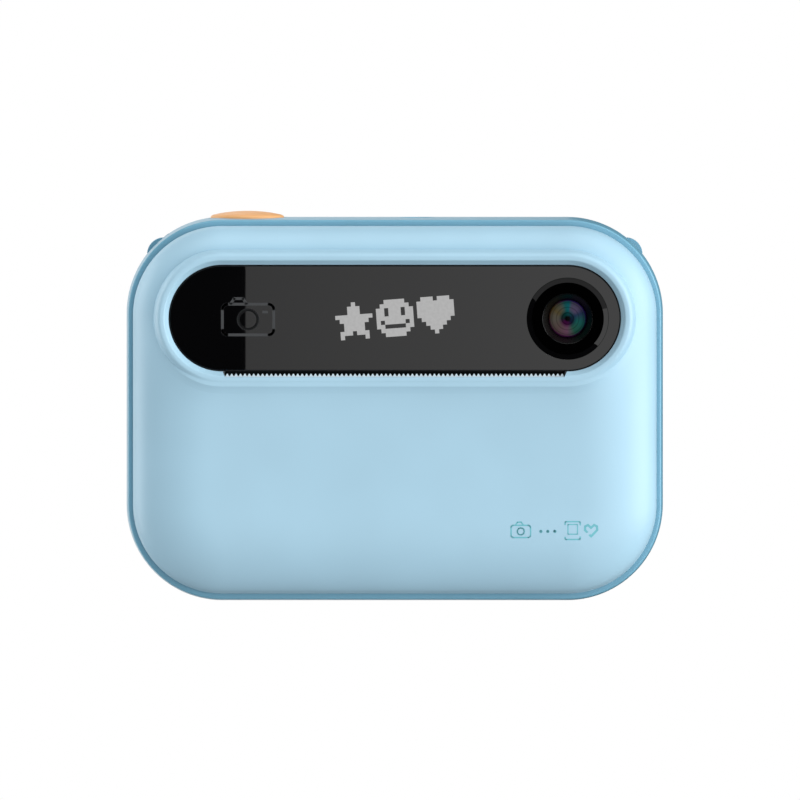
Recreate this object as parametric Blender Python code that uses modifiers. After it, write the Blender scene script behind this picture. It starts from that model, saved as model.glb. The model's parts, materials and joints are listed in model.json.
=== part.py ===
"""A kids' instant-print digital camera, built as an assembly of separate named parts.

Every size below is in millimetres, and MM turns it into Blender's metres when a mesh is made.
The lens looks along -Y, +X is to the right as the lens is faced, and +Z is up. The origin is
on the surface that the camera stands on, under the middle of the body.
"""

import math

import bmesh
import bpy
from mathutils import Matrix, Vector

MM = 0.001
GAP = 0.3  # left between two parts that touch

# Outside of the body
WIDTH = 96.4
HEIGHT = 68.8
CORNER = 17.2
MIDDLE_Z = HEIGHT / 2
CORNER_X = WIDTH / 2 - CORNER
CORNER_Z = HEIGHT - CORNER

# Middle frame, the darker band that the two covers close on
FRAME_FRONT, FRAME_BACK = -10.7, 9.0
FRAME_WALL = 2.4

# Front cover: a pillow with a raised racetrack rim round the dark panel
COVER_HALF_WIDTH, COVER_HALF_HEIGHT, COVER_CORNER = 47.0, 33.0, 16.0
COVER_REAR, COVER_EDGE, COVER_CROWN = -11.0, -12.0, -20.0
COVER_WALL = 1.8
PILLOW_REACH, PILLOW_POWER = 13.5, 2.3
RIM_FRONT = -21.0
RIM_TOP_END, RIM_SHOULDER, RIM_FALL, RIM_FILLET = 11.0, 0.7, 0.9, 1.2

# Dark panel: a racetrack as long between its ends' centres as the body's straight top
PANEL_Z = 51.0
PANEL_RADIUS = 9.45
PANEL_FRONT, PANEL_BACK = -20.0, -18.6
SEAT_RADIUS, SHELF_RADIUS = 9.75, 8.4
SHELF_FRONT, SHELF_BACK = -18.3, -16.8

# Lens, at the panel's right-hand end
LENS = Vector((CORNER_X, 0.0, PANEL_Z))
LENS_HOLE = 7.3

# Paper slot, with the serrated bar that the print is torn on
SLOT_HALF_WIDTH = 31.0
SLOT_LOW, SLOT_HIGH = 40.45, 41.6
TOOTH_PITCH, TOOTH_HEIGHT = 0.79, 0.6
TEAR_BAR_HALF_WIDTH = 30.42

# Back cover and the paper door cut out of it
BACK_HALF_WIDTH, BACK_HALF_HEIGHT, BACK_CORNER = 47.8, 34.0, 16.8
BACK_FRONT, BACK_EDGE, BACK_FLAT = 9.3, 14.2, 20.2
BACK_WALL, BACK_POWER = 2.0, 2.4
DOOR_HALF_WIDTH, DOOR_TOP = 30.4, 32.9
DOOR_AXIS = Vector((0.0, 18.6, 4.4))
DOOR_BARREL, DOOR_PIN = 1.1, 0.5

# Paper roll, 57 mm wide, lying in its bay
ROLL_AXIS = Vector((0.0, 3.0, 18.6))
ROLL_RADIUS, CORE_RADIUS, PAPER_HALF_WIDTH = 13.8, 6.0, 28.5
BAY_HALF_WIDTH, BAY_WALL = 29.2, 1.0

# Printer: platen roller, gears of 0.5 mm module, stepper motor
PLATEN_AXIS = Vector((0.0, -12.4, 37.1))
PLATEN_RADIUS, SHAFT_RADIUS = 4.0, 1.0
MODULE = 0.5
PLATEN_TEETH, SMALL_TEETH, BIG_TEETH, PINION_TEETH = 18, 10, 32, 10
MESH_SLACK = 0.15
SMALL_GEAR_ANGLE, PINION_ANGLE = math.radians(-35), math.radians(-75)
HEAD_PIVOT = Vector((0.0, -1.6, 42.9))

# Buttons
SHUTTER = Vector((-26.5, -1.0, HEIGHT))
SHUTTER_RADIUS = 6.65
POWER = Vector((4.0, -1.0, HEIGHT))
POWER_RADIUS = 3.0
PAD = Vector((-29.5, 0.0, 49.6))
PAD_RADIUS, PAD_INNER, OK_RADIUS = 9.5, 5.0, 4.6
SMALL_KEY_RADIUS = 2.5
SMALL_KEYS = {"menu_key": Vector((-38.8, 0.0, 38.6)), "print_key": Vector((-20.2, 0.0, 38.6))}
KEY_FOOT, KEY_CROWN = 15.0, 21.0

# Ports on the right-hand side
PORT_Y = 4.15
USB_Z, CARD_Z = 41.5, 29.0

SCREWS = {
    "screw_top_left": (-39.0, 59.5),
    "screw_top_right": (39.0, 59.5),
    "screw_bottom_left": (-38.0, 10.5),
    "screw_bottom_right": (38.0, 10.5),
}

# Points on a quarter turn of an outline, and on each straight side
CORNER_STEPS, SIDE_STEPS = 7, 2

COLOURS = {  # sRGB, roughness, metallic
    "cover_blue": ((172, 211, 230), 0.42, 0.0),
    "frame_blue": ((110, 172, 198), 0.35, 0.0),
    "bar_blue": ((205, 232, 243), 0.40, 0.0),
    "panel_black": ((8, 8, 10), 0.06, 0.0),
    "lens_black": ((6, 6, 6), 0.35, 0.0),
    "barrel_grey": ((34, 34, 36), 0.40, 0.0),
    "lens_glass": ((60, 70, 80), 0.03, 0.0),
    "button_orange": ((240, 170, 110), 0.40, 0.0),
    "key_blue": ((140, 192, 214), 0.40, 0.0),
    "soft_grey": ((70, 74, 78), 0.80, 0.0),
    "board_green": ((24, 92, 62), 0.50, 0.0),
    "display_black": ((14, 15, 18), 0.20, 0.0),
    "steel": ((190, 192, 195), 0.28, 1.0),
    "spring_steel": ((165, 168, 172), 0.30, 1.0),
    "aluminium": ((200, 202, 205), 0.38, 1.0),
    "gear_white": ((232, 230, 222), 0.45, 0.0),
    "rubber_black": ((26, 26, 27), 0.75, 0.0),
    "bay_grey": ((196, 202, 206), 0.50, 0.0),
    "paper_white": ((248, 247, 243), 0.85, 0.0),
    "card_board": ((176, 142, 102), 0.90, 0.0),
    "battery_silver": ((176, 180, 184), 0.45, 0.2),
    "card_black": ((22, 22, 24), 0.45, 0.0),
}

parts = None
cutters = None


# ---------------------------------------------------------------- scene and materials


def clear_scene():
    for obj in list(bpy.data.objects):
        bpy.data.objects.remove(obj, do_unlink=True)


def make_collections():
    global parts, cutters
    parts = bpy.data.collections.new("kids_print_camera")
    cutters = bpy.data.collections.new("cutters")
    for collection in (parts, cutters):
        bpy.context.scene.collection.children.link(collection)


def linear(channel):
    share = channel / 255
    return share / 12.92 if share <= 0.04045 else ((share + 0.055) / 1.055) ** 2.4


def paint(obj, colour):
    found = bpy.data.materials.get(colour)
    if found is None:
        rgb, roughness, metallic = COLOURS[colour]
        found = bpy.data.materials.new(colour)
        found.use_nodes = True
        shader = found.node_tree.nodes["Principled BSDF"]
        shader.inputs["Base Color"].default_value = (*map(linear, rgb), 1.0)
        shader.inputs["Roughness"].default_value = roughness
        shader.inputs["Metallic"].default_value = metallic
    obj.data.materials.clear()
    obj.data.materials.append(found)


def add_object(name, data, colour):
    """Puts data in the scene as a part, or as a cutter where colour is None."""
    obj = bpy.data.objects.new(name, data)
    if colour is None:
        cutters.objects.link(obj)
        obj.hide_render = True
        obj.display_type = "WIRE"
    else:
        parts.objects.link(obj)
        paint(obj, colour)
    return obj


def smooth(obj, degrees=35):
    obj.data.shade_smooth()
    obj.data.set_sharp_from_angle(angle=math.radians(degrees))
    return obj


def mesh_from(bm, name):
    bmesh.ops.scale(bm, vec=(MM, MM, MM), verts=bm.verts)
    bmesh.ops.recalc_face_normals(bm, faces=bm.faces)
    mesh = bpy.data.meshes.new(name)
    bm.to_mesh(mesh)
    bm.free()
    return mesh


def move_origin(obj, point):
    """Moves the object's origin to a point, with its shape left in place."""
    bpy.context.view_layer.update()
    inverse = obj.matrix_world.inverted()
    obj.data.transform(Matrix.Translation(-(inverse @ (point * MM))))
    obj.location = point * MM
    return obj


# ---------------------------------------------------------------- basic solids


def box(name, low, high, colour=None, bevel=0.0, turn=None):
    """A box from its low corner to its high one. A turn, in radians, is about Y through its centre."""
    low, high = Vector(low), Vector(high)
    bm = bmesh.new()
    bmesh.ops.create_cube(bm, size=1.0)
    bmesh.ops.scale(bm, vec=high - low, verts=bm.verts)
    obj = add_object(name, mesh_from(bm, name), colour)
    obj.location = (low + high) / 2 * MM
    if turn is not None:
        obj.rotation_euler = (0.0, turn, 0.0)
    if bevel:
        round_edges(obj, bevel)
    return obj


def round_edges(obj, width, segments=2):
    modifier = obj.modifiers.new("rounded edges", "BEVEL")
    modifier.width = width * MM
    modifier.segments = segments
    modifier.limit_method = "ANGLE"


def cylinder(name, start, end, radius, colour=None, segments=24):
    start, end = Vector(start), Vector(end)
    bm = bmesh.new()
    bmesh.ops.create_cone(
        bm,
        cap_ends=True,
        segments=segments,
        radius1=radius,
        radius2=radius,
        depth=(end - start).length,
    )
    obj = add_object(name, mesh_from(bm, name), colour)
    obj.location = (start + end) / 2 * MM
    obj.rotation_euler = (end - start).to_track_quat("Z", "Y").to_euler()
    return smooth(obj)


def turned(name, profile, base, direction, colour=None, segments=24):
    """A solid of revolution: profile is (radius, height) down the outer side, heights along direction."""
    on_axis = profile[0][0] == 0
    mesh = bpy.data.meshes.new(name)
    points = [(r * MM, 0.0, h * MM) for r, h in profile]
    edges = [(i, i + 1) for i in range(len(points) - 1)]
    if not on_axis:
        edges.append((len(points) - 1, 0))
    mesh.from_pydata(points, edges, [])
    obj = add_object(name, mesh, colour)
    obj.location = Vector(base) * MM
    obj.rotation_euler = Vector(direction).to_track_quat("Z", "Y").to_euler()
    screw = obj.modifiers.new("turned", "SCREW")
    screw.steps = screw.render_steps = segments
    screw.use_merge_vertices = True
    screw.merge_threshold = 0.00001
    screw.use_smooth_shade = True
    return obj


FACING = {
    "Y": Matrix(((1, 0, 0), (0, 0, -1), (0, 1, 0))),
    "X": Matrix(((0, 0, 1), (1, 0, 0), (0, 1, 0))),
}


def plate(name, outlines, facing, low, high, colour=None):
    """A flat outline, with any holes after it, as thick as from low to high along the axis it faces.

    Points are (x, z) on a plate that faces Y, and (y, z) on one that faces X.
    """
    curve = bpy.data.curves.new(name, "CURVE")
    curve.dimensions = "2D"
    curve.fill_mode = "BOTH"
    curve.extrude = (high - low) / 2 * MM
    for outline in outlines:
        spline = curve.splines.new("POLY")
        spline.points.add(len(outline) - 1)
        for point, (u, v) in zip(spline.points, outline):
            point.co = (u * MM, v * MM, 0.0, 1.0)
        spline.use_cyclic_u = True
    obj = add_object(name, curve, colour)
    middle = (low + high) / 2 * MM
    obj.location = (0.0, middle, 0.0) if facing == "Y" else (middle, 0.0, 0.0)
    obj.rotation_euler = FACING[facing].to_euler()
    return as_mesh(obj, colour)


def as_mesh(obj, colour):
    """The curve object made a mesh object of the same name and place, with its caps welded on."""
    bpy.context.view_layer.update()
    graph = bpy.context.evaluated_depsgraph_get()
    mesh = bpy.data.meshes.new_from_object(obj.evaluated_get(graph))
    bm = bmesh.new()
    bm.from_mesh(mesh)
    bmesh.ops.remove_doubles(bm, verts=bm.verts, dist=0.00001)
    bmesh.ops.recalc_face_normals(bm, faces=bm.faces)
    bm.to_mesh(mesh)
    bm.free()
    place, name = obj.matrix_world.copy(), obj.name
    bpy.data.objects.remove(obj, do_unlink=True)
    made = add_object(name, mesh, colour)
    made.matrix_world = place
    return made


def wire(name, points, radius, colour, resolution=2):
    """A round bar or wire along points, with closed ends."""
    curve = bpy.data.curves.new(name, "CURVE")
    curve.dimensions = "3D"
    curve.bevel_depth = radius * MM
    curve.bevel_resolution = resolution
    curve.use_fill_caps = True
    spline = curve.splines.new("POLY")
    spline.points.add(len(points) - 1)
    for point, place in zip(spline.points, points):
        point.co = (*(Vector(place) * MM), 1.0)
    return as_mesh(add_object(name, curve, colour), colour)


def coil_spring(name, centre, low, high, radius, turns, wire_radius=0.25):
    """A compression spring that stands along Z."""
    per_turn = 10
    count = int(turns * per_turn)
    low, high = low + wire_radius, high - wire_radius
    points = []
    for i in range(count + 1):
        angle = 2 * math.pi * i / per_turn
        across = Vector((math.cos(angle), math.sin(angle), 0.0)) * radius
        points.append(Vector((centre.x, centre.y, low + (high - low) * i / count)) + across)
    return wire(name, points, wire_radius, "spring_steel", resolution=0)


def loft(name, loops, closed, colour=None):
    """Joins loops of equal length into a solid: closed like a tyre, or capped at the first and last."""
    bm = bmesh.new()
    rings = [[bm.verts.new(point) for point in loop] for loop in loops]
    pairs = list(zip(rings, rings[1:] + rings[:1])) if closed else list(zip(rings, rings[1:]))
    for ring, following in pairs:
        for i in range(len(ring)):
            j = (i + 1) % len(ring)
            bm.faces.new((ring[i], ring[j], following[j], following[i]))
    if not closed:
        bm.faces.new(rings[0])
        bm.faces.new(reversed(rings[-1]))
    return smooth(add_object(name, mesh_from(bm, name), colour))


def combine(obj, operation, others):
    for other in others:
        modifier = obj.modifiers.new(other.name, "BOOLEAN")
        modifier.operation = operation
        modifier.object = other
    return obj


def cut(obj, *others):
    return combine(obj, "DIFFERENCE", others)


def join(obj, *others):
    return combine(obj, "UNION", others)


def keep_inside(obj, other):
    return combine(obj, "INTERSECT", [other])


# ---------------------------------------------------------------- outlines


def arc(centre, radius, start, end, steps):
    """Points from the start angle to the end angle, in degrees, both ends included."""
    points = []
    for i in range(steps + 1):
        angle = math.radians(start + (end - start) * i / steps)
        points.append((centre[0] + radius * math.cos(angle), centre[1] + radius * math.sin(angle)))
    return points


def mirrored(right_half):
    """A right half from its top to its bottom, and its mirror image back up."""
    return right_half + [(-x, z) for x, z in reversed(right_half)]


def body_outline(half_width, half_height, corner, inset=0.0):
    """A rounded rectangle about the body's middle, the inset inside its own edge."""
    half_width, half_height, corner = half_width - inset, half_height - inset, corner - inset
    x, rise = half_width - corner, half_height - corner
    top = arc((x, MIDDLE_Z + rise), corner, 90, 0, CORNER_STEPS)
    bottom = arc((x, MIDDLE_Z - rise), corner, 0, -90, CORNER_STEPS)
    side = [
        (half_width, MIDDLE_Z + rise - 2 * rise * i / SIDE_STEPS) for i in range(1, SIDE_STEPS)
    ]
    return mirrored(top + side + bottom)


def frame_outline(inset=0.0):
    return body_outline(WIDTH / 2, HEIGHT / 2, CORNER, inset)


def cover_outline(inset=0.0):
    return body_outline(COVER_HALF_WIDTH, COVER_HALF_HEIGHT, COVER_CORNER, inset)


def back_outline(inset=0.0):
    return body_outline(BACK_HALF_WIDTH, BACK_HALF_HEIGHT, BACK_CORNER, inset)


def racetrack(radius):
    """The panel's outline at this radius, with as many points as a body outline."""
    centre = (CORNER_X, PANEL_Z)
    top = arc(centre, radius, 90, 0, CORNER_STEPS)
    bottom = arc(centre, radius, 0, -90, CORNER_STEPS + SIDE_STEPS)
    return mirrored(top + bottom[1:])


def rounded_box(low, high, corner, steps=4):
    """A rounded rectangle from its low corner to its high one."""
    (left, bottom), (right, top) = low, high
    return (
        arc((right - corner, top - corner), corner, 0, 90, steps)
        + arc((left + corner, top - corner), corner, 90, 180, steps)
        + arc((left + corner, bottom + corner), corner, 180, 270, steps)
        + arc((right - corner, bottom + corner), corner, 270, 360, steps)
    )


def circle(centre, radius, steps=24):
    return arc(centre, radius, 0, 360 - 360 / steps, steps - 1)


def between(first, second, share):
    return [
        (a[0] + (b[0] - a[0]) * share, a[1] + (b[1] - a[1]) * share)
        for a, b in zip(first, second)
    ]


def at_depth(outline, depth):
    """The outline in space, where depth is a Y or a function of x and z."""
    return [Vector((x, depth(x, z) if callable(depth) else depth, z)) for x, z in outline]


# ---------------------------------------------------------------- surfaces of the covers


def crown(inset, reach, power):
    """Rises from 0 at the edge to 1 at reach inside it, steep at first and then flat."""
    share = min(max(inset / reach, 0.0), 1.0)
    return (1 - (1 - share) ** power) ** (1 / power)


def inset_from_cover_edge(x, z):
    across = abs(x) - (COVER_HALF_WIDTH - COVER_CORNER)
    up = abs(z - MIDDLE_Z) - (COVER_HALF_HEIGHT - COVER_CORNER)
    outside = math.hypot(max(across, 0.0), max(up, 0.0))
    return COVER_CORNER - outside - min(max(across, up), 0.0)


def panel_radius_at(x, z):
    return math.hypot(max(abs(x) - CORNER_X, 0.0), z - PANEL_Z)


def smooth_max(a, b, width):
    near = max(width - abs(a - b), 0.0) / width
    return max(a, b) + near * near * width / 4


def cover_outside(x, z):
    """Y of the front cover's outer surface, with the rim's shoulder filleted into the pillow."""
    inset = inset_from_cover_edge(x, z)
    pillow = -COVER_EDGE + (COVER_EDGE - COVER_CROWN) * crown(inset, PILLOW_REACH, PILLOW_POWER)
    past = max(panel_radius_at(x, z) - RIM_TOP_END, 0.0) / RIM_SHOULDER
    rim = -RIM_FRONT - RIM_FALL * past * past
    return max(-smooth_max(pillow, rim, RIM_FILLET), RIM_FRONT)


def cover_inside(x, z):
    """Y of the front cover's inner surface, one wall inside the pillow."""
    inset = inset_from_cover_edge(x, z) - COVER_WALL
    rise = COVER_EDGE - COVER_CROWN - COVER_WALL
    return COVER_EDGE - rise * crown(inset, PILLOW_REACH - COVER_WALL, PILLOW_POWER)


# ---------------------------------------------------------------- housing


def make_front_cover():
    outer_start, inner_start = racetrack(13.6), racetrack(11.6)
    edge, inner_edge = cover_outline(), cover_outline(COVER_WALL)
    loops = [
        at_depth(racetrack(SHELF_RADIUS), SHELF_FRONT),
        at_depth(racetrack(SEAT_RADIUS), SHELF_FRONT),
        at_depth(racetrack(SEAT_RADIUS), PANEL_FRONT),
        at_depth(racetrack(10.45), -20.9),
        at_depth(racetrack(10.7), RIM_FRONT),
    ]
    loops += [at_depth(racetrack(radius), cover_outside) for radius in (11.2, 11.7, 12.1, 12.6)]
    for share in (0.0, 0.2, 0.45, 0.7, 0.86, 0.95, 1.0):
        loops.append(at_depth(between(outer_start, edge, share), cover_outside))
    loops += [
        at_depth(edge, COVER_REAR),
        at_depth(inner_edge, COVER_REAR),
    ]
    for share in (1.0, 0.86, 0.6, 0.3, 0.0):
        loops.append(at_depth(between(inner_start, inner_edge, share), cover_inside))
    loops += [
        at_depth(racetrack(10.9), SHELF_BACK),
        at_depth(racetrack(SHELF_RADIUS), SHELF_BACK),
    ]
    cover = loft("front_cover", loops, closed=True, colour="cover_blue")
    step = SLOT_HALF_WIDTH - TEAR_BAR_HALF_WIDTH
    slot = plate(
        "slot_cutter",
        [[
            (-SLOT_HALF_WIDTH, SLOT_HIGH + step),
            (-SLOT_HALF_WIDTH + step, SLOT_LOW),
            (SLOT_HALF_WIDTH - step, SLOT_LOW),
            (SLOT_HALF_WIDTH, SLOT_HIGH + step),
        ]],
        "Y", -24.0, -14.0,
    )
    rebate = box("rebate_cutter", (-30.8, -20.2, 39.3), (30.8, -14.0, SLOT_LOW + 0.4))
    return cut(cover, slot, rebate)


def make_tear_bar():
    """A strip behind the slot's lower edge, with its saw teeth standing in the slot."""
    count = round(2 * TEAR_BAR_HALF_WIDTH / TOOTH_PITCH)
    pitch = 2 * TEAR_BAR_HALF_WIDTH / count
    root, tip = SLOT_LOW, SLOT_LOW + TOOTH_HEIGHT
    outline = [(TEAR_BAR_HALF_WIDTH, 39.6), (-TEAR_BAR_HALF_WIDTH, 39.6)]
    for i in range(count):
        left = -TEAR_BAR_HALF_WIDTH + i * pitch
        outline += [(left, root), (left + pitch / 2, tip)]
    outline.append((TEAR_BAR_HALF_WIDTH, root))
    return plate("tear_bar", [outline], "Y", -19.9, -18.9, "bar_blue")


def make_middle_frame():
    profile = [
        (1.35, FRAME_FRONT), (0.75, -10.45), (0.3, -9.8), (0.0, -8.6),
        (0.0, 8.2), (0.15, 8.75), (0.6, FRAME_BACK),
        (FRAME_WALL, FRAME_BACK), (FRAME_WALL, FRAME_FRONT),
    ]
    loops = [at_depth(frame_outline(inset), y) for inset, y in profile]
    frame = loft("middle_frame", loops, closed=True, colour="frame_blue")
    for name, (x, z) in SCREWS.items():
        join(frame, *screw_boss(name, x, z))
    for name, (x, z) in SCREWS.items():
        cut(frame, cylinder(name + "_bore", (x, 0.2, z), (x, 6.5, z), 0.95, segments=12))
    top = Vector((0.0, 0.0, 4.0))
    for name, place, radius in (
        ("shutter_hole", SHUTTER, SHUTTER_RADIUS),
        ("power_hole", POWER, POWER_RADIUS),
    ):
        cut(frame, cylinder(name, place - top, place + top, radius + GAP, segments=32))
    for side in (-1, 1):
        cut(frame, strap_pocket(side))
    recess = plate("port_recess", [rounded_box((0.2, 21.5), (7.6, 48.0), 1.5)], "X", 46.6, 50.0)
    usb = plate("usb_hole", [rounded_box((2.2, 36.7), (6.1, 46.3), 1.6)], "X", 44.0, 48.0)
    card = box("card_hole", (44.0, 3.7, 23.1), (48.0, 5.5, 34.9))
    return cut(frame, recess, usb, card)


def screw_boss(name, x, z):
    """A post for one of the back cover's screws, and the web that ties it to the frame's wall."""
    side = math.copysign(1, x)
    corner = Vector((side * CORNER_X, 0.0, CORNER_Z if z > MIDDLE_Z else HEIGHT - CORNER_Z))
    out = (Vector((x, 0.0, z)) - corner).normalized()
    middle = corner + out * 13.4
    half = Vector((2.2, 5.6, 1.2))
    post = cylinder(name + "_boss", (x, -6.0, z), (x, 5.4, z), 2.1, segments=16)
    angle = -math.atan2(out.z, out.x)
    web = box(name + "_web", middle - half, middle + half, turn=angle)
    return post, web


def strap_pocket(side):
    """The hollow in an upper corner that a strap's cord passes through."""
    corner = Vector((side * CORNER_X, 0.0, CORNER_Z))
    out = Vector((side, 0.0, 1.0)).normalized()
    middle = corner + out * 17.4
    half = Vector((2.0, 3.4, 3.4))
    angle = -math.atan2(out.z, out.x)
    name = "strap_pocket_right" if side > 0 else "strap_pocket_left"
    return box(name, middle - half, middle + half, bevel=0.6, turn=angle)


def make_strap_loop(name, side):
    """A moulded staple: a crescent that stands clear of the corner, on two legs in the pocket."""
    corner = Vector((side * CORNER_X, 0.0, CORNER_Z))
    out = Vector((side, 0.0, 1.0)).normalized()
    along = Vector((1.0, 0.0, -side)).normalized()
    outer = arc((0.0, 14.84), 3.06, 51, 129, 8)
    outline = outer + [(-1.9, 15.8), (-1.3, 15.8), (-1.3, 17.25), (1.3, 17.25), (1.3, 15.8), (1.9, 15.8)]
    depth = Vector((0.0, 1.2, 0.0))
    loops = [
        [corner + out * v + along * u + depth * end for u, v in outline]
        for end in (-1, 1)
    ]
    return loft(name, loops, closed=False, colour="frame_blue")


def back_shell(name, colour=None):
    """The back's whole shell, with no openings: the door and the back cover are both cut from it."""
    inner = [(2.0, BACK_FRONT), (2.0, BACK_EDGE)]
    for inset in (0.4, 1.2, 2.4, 4.0):
        rise = (BACK_FLAT - BACK_EDGE - BACK_WALL) * crown(inset, 4.0, BACK_POWER)
        inner.append((BACK_WALL + inset, BACK_EDGE + rise))
    outer = [(0.3, BACK_FRONT), (0.0, BACK_FRONT + 0.4), (0.0, BACK_EDGE)]
    for inset in (0.15, 0.6, 1.5, 2.8, 4.3, 6.0):
        rise = (BACK_FLAT - BACK_EDGE) * crown(inset, 6.0, BACK_POWER)
        outer.append((inset, BACK_EDGE + rise))
    profile = list(reversed(inner)) + outer
    loops = [at_depth(back_outline(inset), y) for inset, y in profile]
    return loft(name, loops, closed=False, colour=colour)


def make_back_cover():
    cover = back_shell("back_cover", "cover_blue")
    opening = rounded_box((-30.7, 2.6), (30.7, 33.2), 1.2, steps=3)
    cut(cover, plate("door_opening", [opening], "Y", 8.0, 24.0))
    for side in (-1, 1):
        name = "hinge_boss_right" if side > 0 else "hinge_boss_left"
        inner_end, outer_end = Vector((side * 30.7, 0, 0)), Vector((side * 33.6, 0, 0))
        join(cover, cylinder(name, DOOR_AXIS + inner_end, DOOR_AXIS + outer_end, 1.05, segments=12))
    reach = Vector((33.2, 0.0, 0.0))
    pin_bore = cylinder("pin_bore", DOOR_AXIS - reach, DOOR_AXIS + reach, 0.62, segments=12)
    recess = plate("window_recess", [rounded_box((-13.3, 36.1), (35.3, 62.3), 3.3)], "Y", 18.9, 24.0)
    opening = plate("window_opening", [rounded_box((-10.5, 37.9), (32.5, 60.5), 1.0)], "Y", 16.0, 24.0)
    pad_start, pad_end = PAD + Vector((0, 16, 0)), PAD + Vector((0, 24, 0))
    pad = cylinder("pad_hole", pad_start, pad_end, PAD_RADIUS + GAP, segments=30)
    cut(cover, pin_bore, recess, opening, pad)
    for name, place in SMALL_KEYS.items():
        start, end = place + Vector((0, 16, 0)), place + Vector((0, 24, 0))
        cut(cover, cylinder(name + "_hole", start, end, SMALL_KEY_RADIUS + GAP, segments=16))
    for i in range(4):
        x = 34.4 + i * 2.4
        slot = rounded_box((x - 0.6, 16.0), (x + 0.6, 25.0), 0.55, steps=3)
        cut(cover, plate(f"speaker_slot_{i + 1}", [slot], "Y", 16.0, 24.0))
    for name, (x, z) in SCREWS.items():
        cut(cover, cylinder(name + "_seat", (x, 18.7, z), (x, 24.0, z), 2.2, segments=14))
        cut(cover, cylinder(name + "_way", (x, 16.0, z), (x, 19.5, z), 1.05, segments=12))
    return cover


def make_paper_door():
    """The lower part of the back, on a barrel hinge along its bottom edge, with a ribbed finger grip."""
    door = back_shell("paper_door", "cover_blue")
    outline = rounded_box((-DOOR_HALF_WIDTH, DOOR_AXIS.z), (DOOR_HALF_WIDTH, DOOR_TOP), 1.0)
    keep_inside(door, plate("door_outline", [outline], "Y", 8.0, 24.0))
    reach = Vector((DOOR_HALF_WIDTH, 0.0, 0.0))
    join(door, cylinder("door_barrel", DOOR_AXIS - reach, DOOR_AXIS + reach, DOOR_BARREL, segments=16))
    for i in range(3):
        z = 28.2 + i * 1.3
        join(door, box(f"door_grip_{i + 1}", (-6.0, 19.9, z - 0.35), (6.0, 20.7, z + 0.35)))
    far = Vector((34.0, 0.0, 0.0))
    cut(door, cylinder("door_bore", DOOR_AXIS - far, DOOR_AXIS + far, 0.62, segments=12))
    return move_origin(door, DOOR_AXIS)


def make_door_pin():
    reach = Vector((33.0, 0.0, 0.0))
    return cylinder("door_pin", DOOR_AXIS - reach, DOOR_AXIS + reach, DOOR_PIN, "steel", segments=12)


def make_screws():
    head = [(0, 1.35), (1.2, 1.35), (1.7, 1.1), (1.9, 0.7), (1.9, 0.0)]
    profile = head + [(0.78, 0.0), (0.78, -17.4), (0, -18.0)]
    for name, (x, z) in SCREWS.items():
        turned(name, profile, (x, 18.75 + 0.05, z), (0, 1, 0), "steel", segments=12)


# ---------------------------------------------------------------- front panel and lens


def make_front_panel():
    panel = plate("front_panel", [racetrack(PANEL_RADIUS)], "Y", PANEL_FRONT, PANEL_BACK, "panel_black")
    front, back = LENS + Vector((0, -24, 0)), LENS + Vector((0, -16, 0))
    hole = cylinder("lens_hole", front, back, LENS_HOLE, segments=30)
    return cut(panel, hole)


def make_lens():
    """The ring, barrel and elements on one axis, which points at the subject."""
    forward = (0.0, -1.0, 0.0)

    def on_axis(name, profile, colour, segments=32):
        return turned(name, profile, LENS, forward, colour, segments)

    ring = [(4.3, 19.9), (4.5, 20.3), (6.4, 20.3), (7.0, 20.0), (7.0, 17.0), (4.3, 17.0)]
    on_axis("lens_ring", ring, "lens_black", 30)
    on_axis(
        "lens_barrel",
        [
            (3.4, 19.15), (4.0, 19.1), (4.0, 14.0), (5.3, 14.0), (5.3, 11.0),
            (2.6, 11.0), (2.6, 15.6), (3.4, 15.6),
        ],
        "barrel_grey", 24,
    )
    dome = [(3.25 * math.sin(a), 18.2 + 0.75 * math.cos(a)) for a in (i * math.pi / 10 for i in range(6))]
    on_axis("lens_front_element", [*dome, (3.25, 16.2), (0.0, 15.9)], "lens_glass", 24)
    rear = [(0.0, 14.9), (1.6, 14.6), (2.45, 14.0), (2.45, 12.9), (0.0, 12.6)]
    on_axis("lens_rear_element", rear, "lens_glass", 20)
    board = box("camera_board", LENS + Vector((-7, -9.4, -4.7)), LENS + Vector((7, -8.4, 8)), "board_green")
    join(board, box("image_sensor", LENS + Vector((-3.6, -10.6, -3.0)), LENS + Vector((3.6, -9.2, 3.0))))


def make_displays():
    box("front_display", (-16.0, -18.2, 45.0), (16.0, -16.6, 57.0), "display_black", bevel=0.3)
    box("rear_display", (-12.0, 14.6, 36.6), (34.0, 17.4, 61.8), "display_black", bevel=0.3)
    window = rounded_box((-13.0, 36.4), (35.0, 62.0), 3.0)
    plate("display_window", [window], "Y", 19.2, BACK_FLAT, "panel_black")


# ---------------------------------------------------------------- electronics


def make_boards():
    outline = [
        (-44.0, 36.0), (31.8, 36.0), (31.8, 22.0), (44.0, 22.0),
        (44.0, 49.0), (30.0, 62.8), (-30.0, 62.8), (-44.0, 49.0),
    ]
    board = plate("main_board", [outline], "Y", 6.0, 7.2, "board_green")
    join(board, box("processor", (2.0, 7.0, 44.0), (14.0, 8.4, 56.0)))
    join(board, box("memory_chip", (18.0, 7.0, 46.0), (27.0, 8.2, 53.0)))
    top_board = box("top_board", (-34.0, -6.0, 59.6), (9.0, 4.0, 60.8), "board_green")
    for name, place in (("shutter_switch", SHUTTER), ("power_switch", POWER)):
        half = Vector((2.2, 2.2, 0.0))
        floor = Vector((place.x, place.y, 0.0))
        join(top_board, box(name, floor - half + Vector((0, 0, 60.6)), floor + half + Vector((0, 0, 62.9))))
        stem_low, stem_high = floor + Vector((0, 0, 62.7)), floor + Vector((0, 0, 63.3))
        join(top_board, cylinder(name + "_stem", stem_low, stem_high, 1.2, segments=12))
    plate("keypad_board", [keypad_outline(11.6)], "Y", 11.8, 12.9, "board_green")
    plate("keypad_membrane", [keypad_outline(11.0)], "Y", 13.2, 14.2, "soft_grey")


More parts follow.
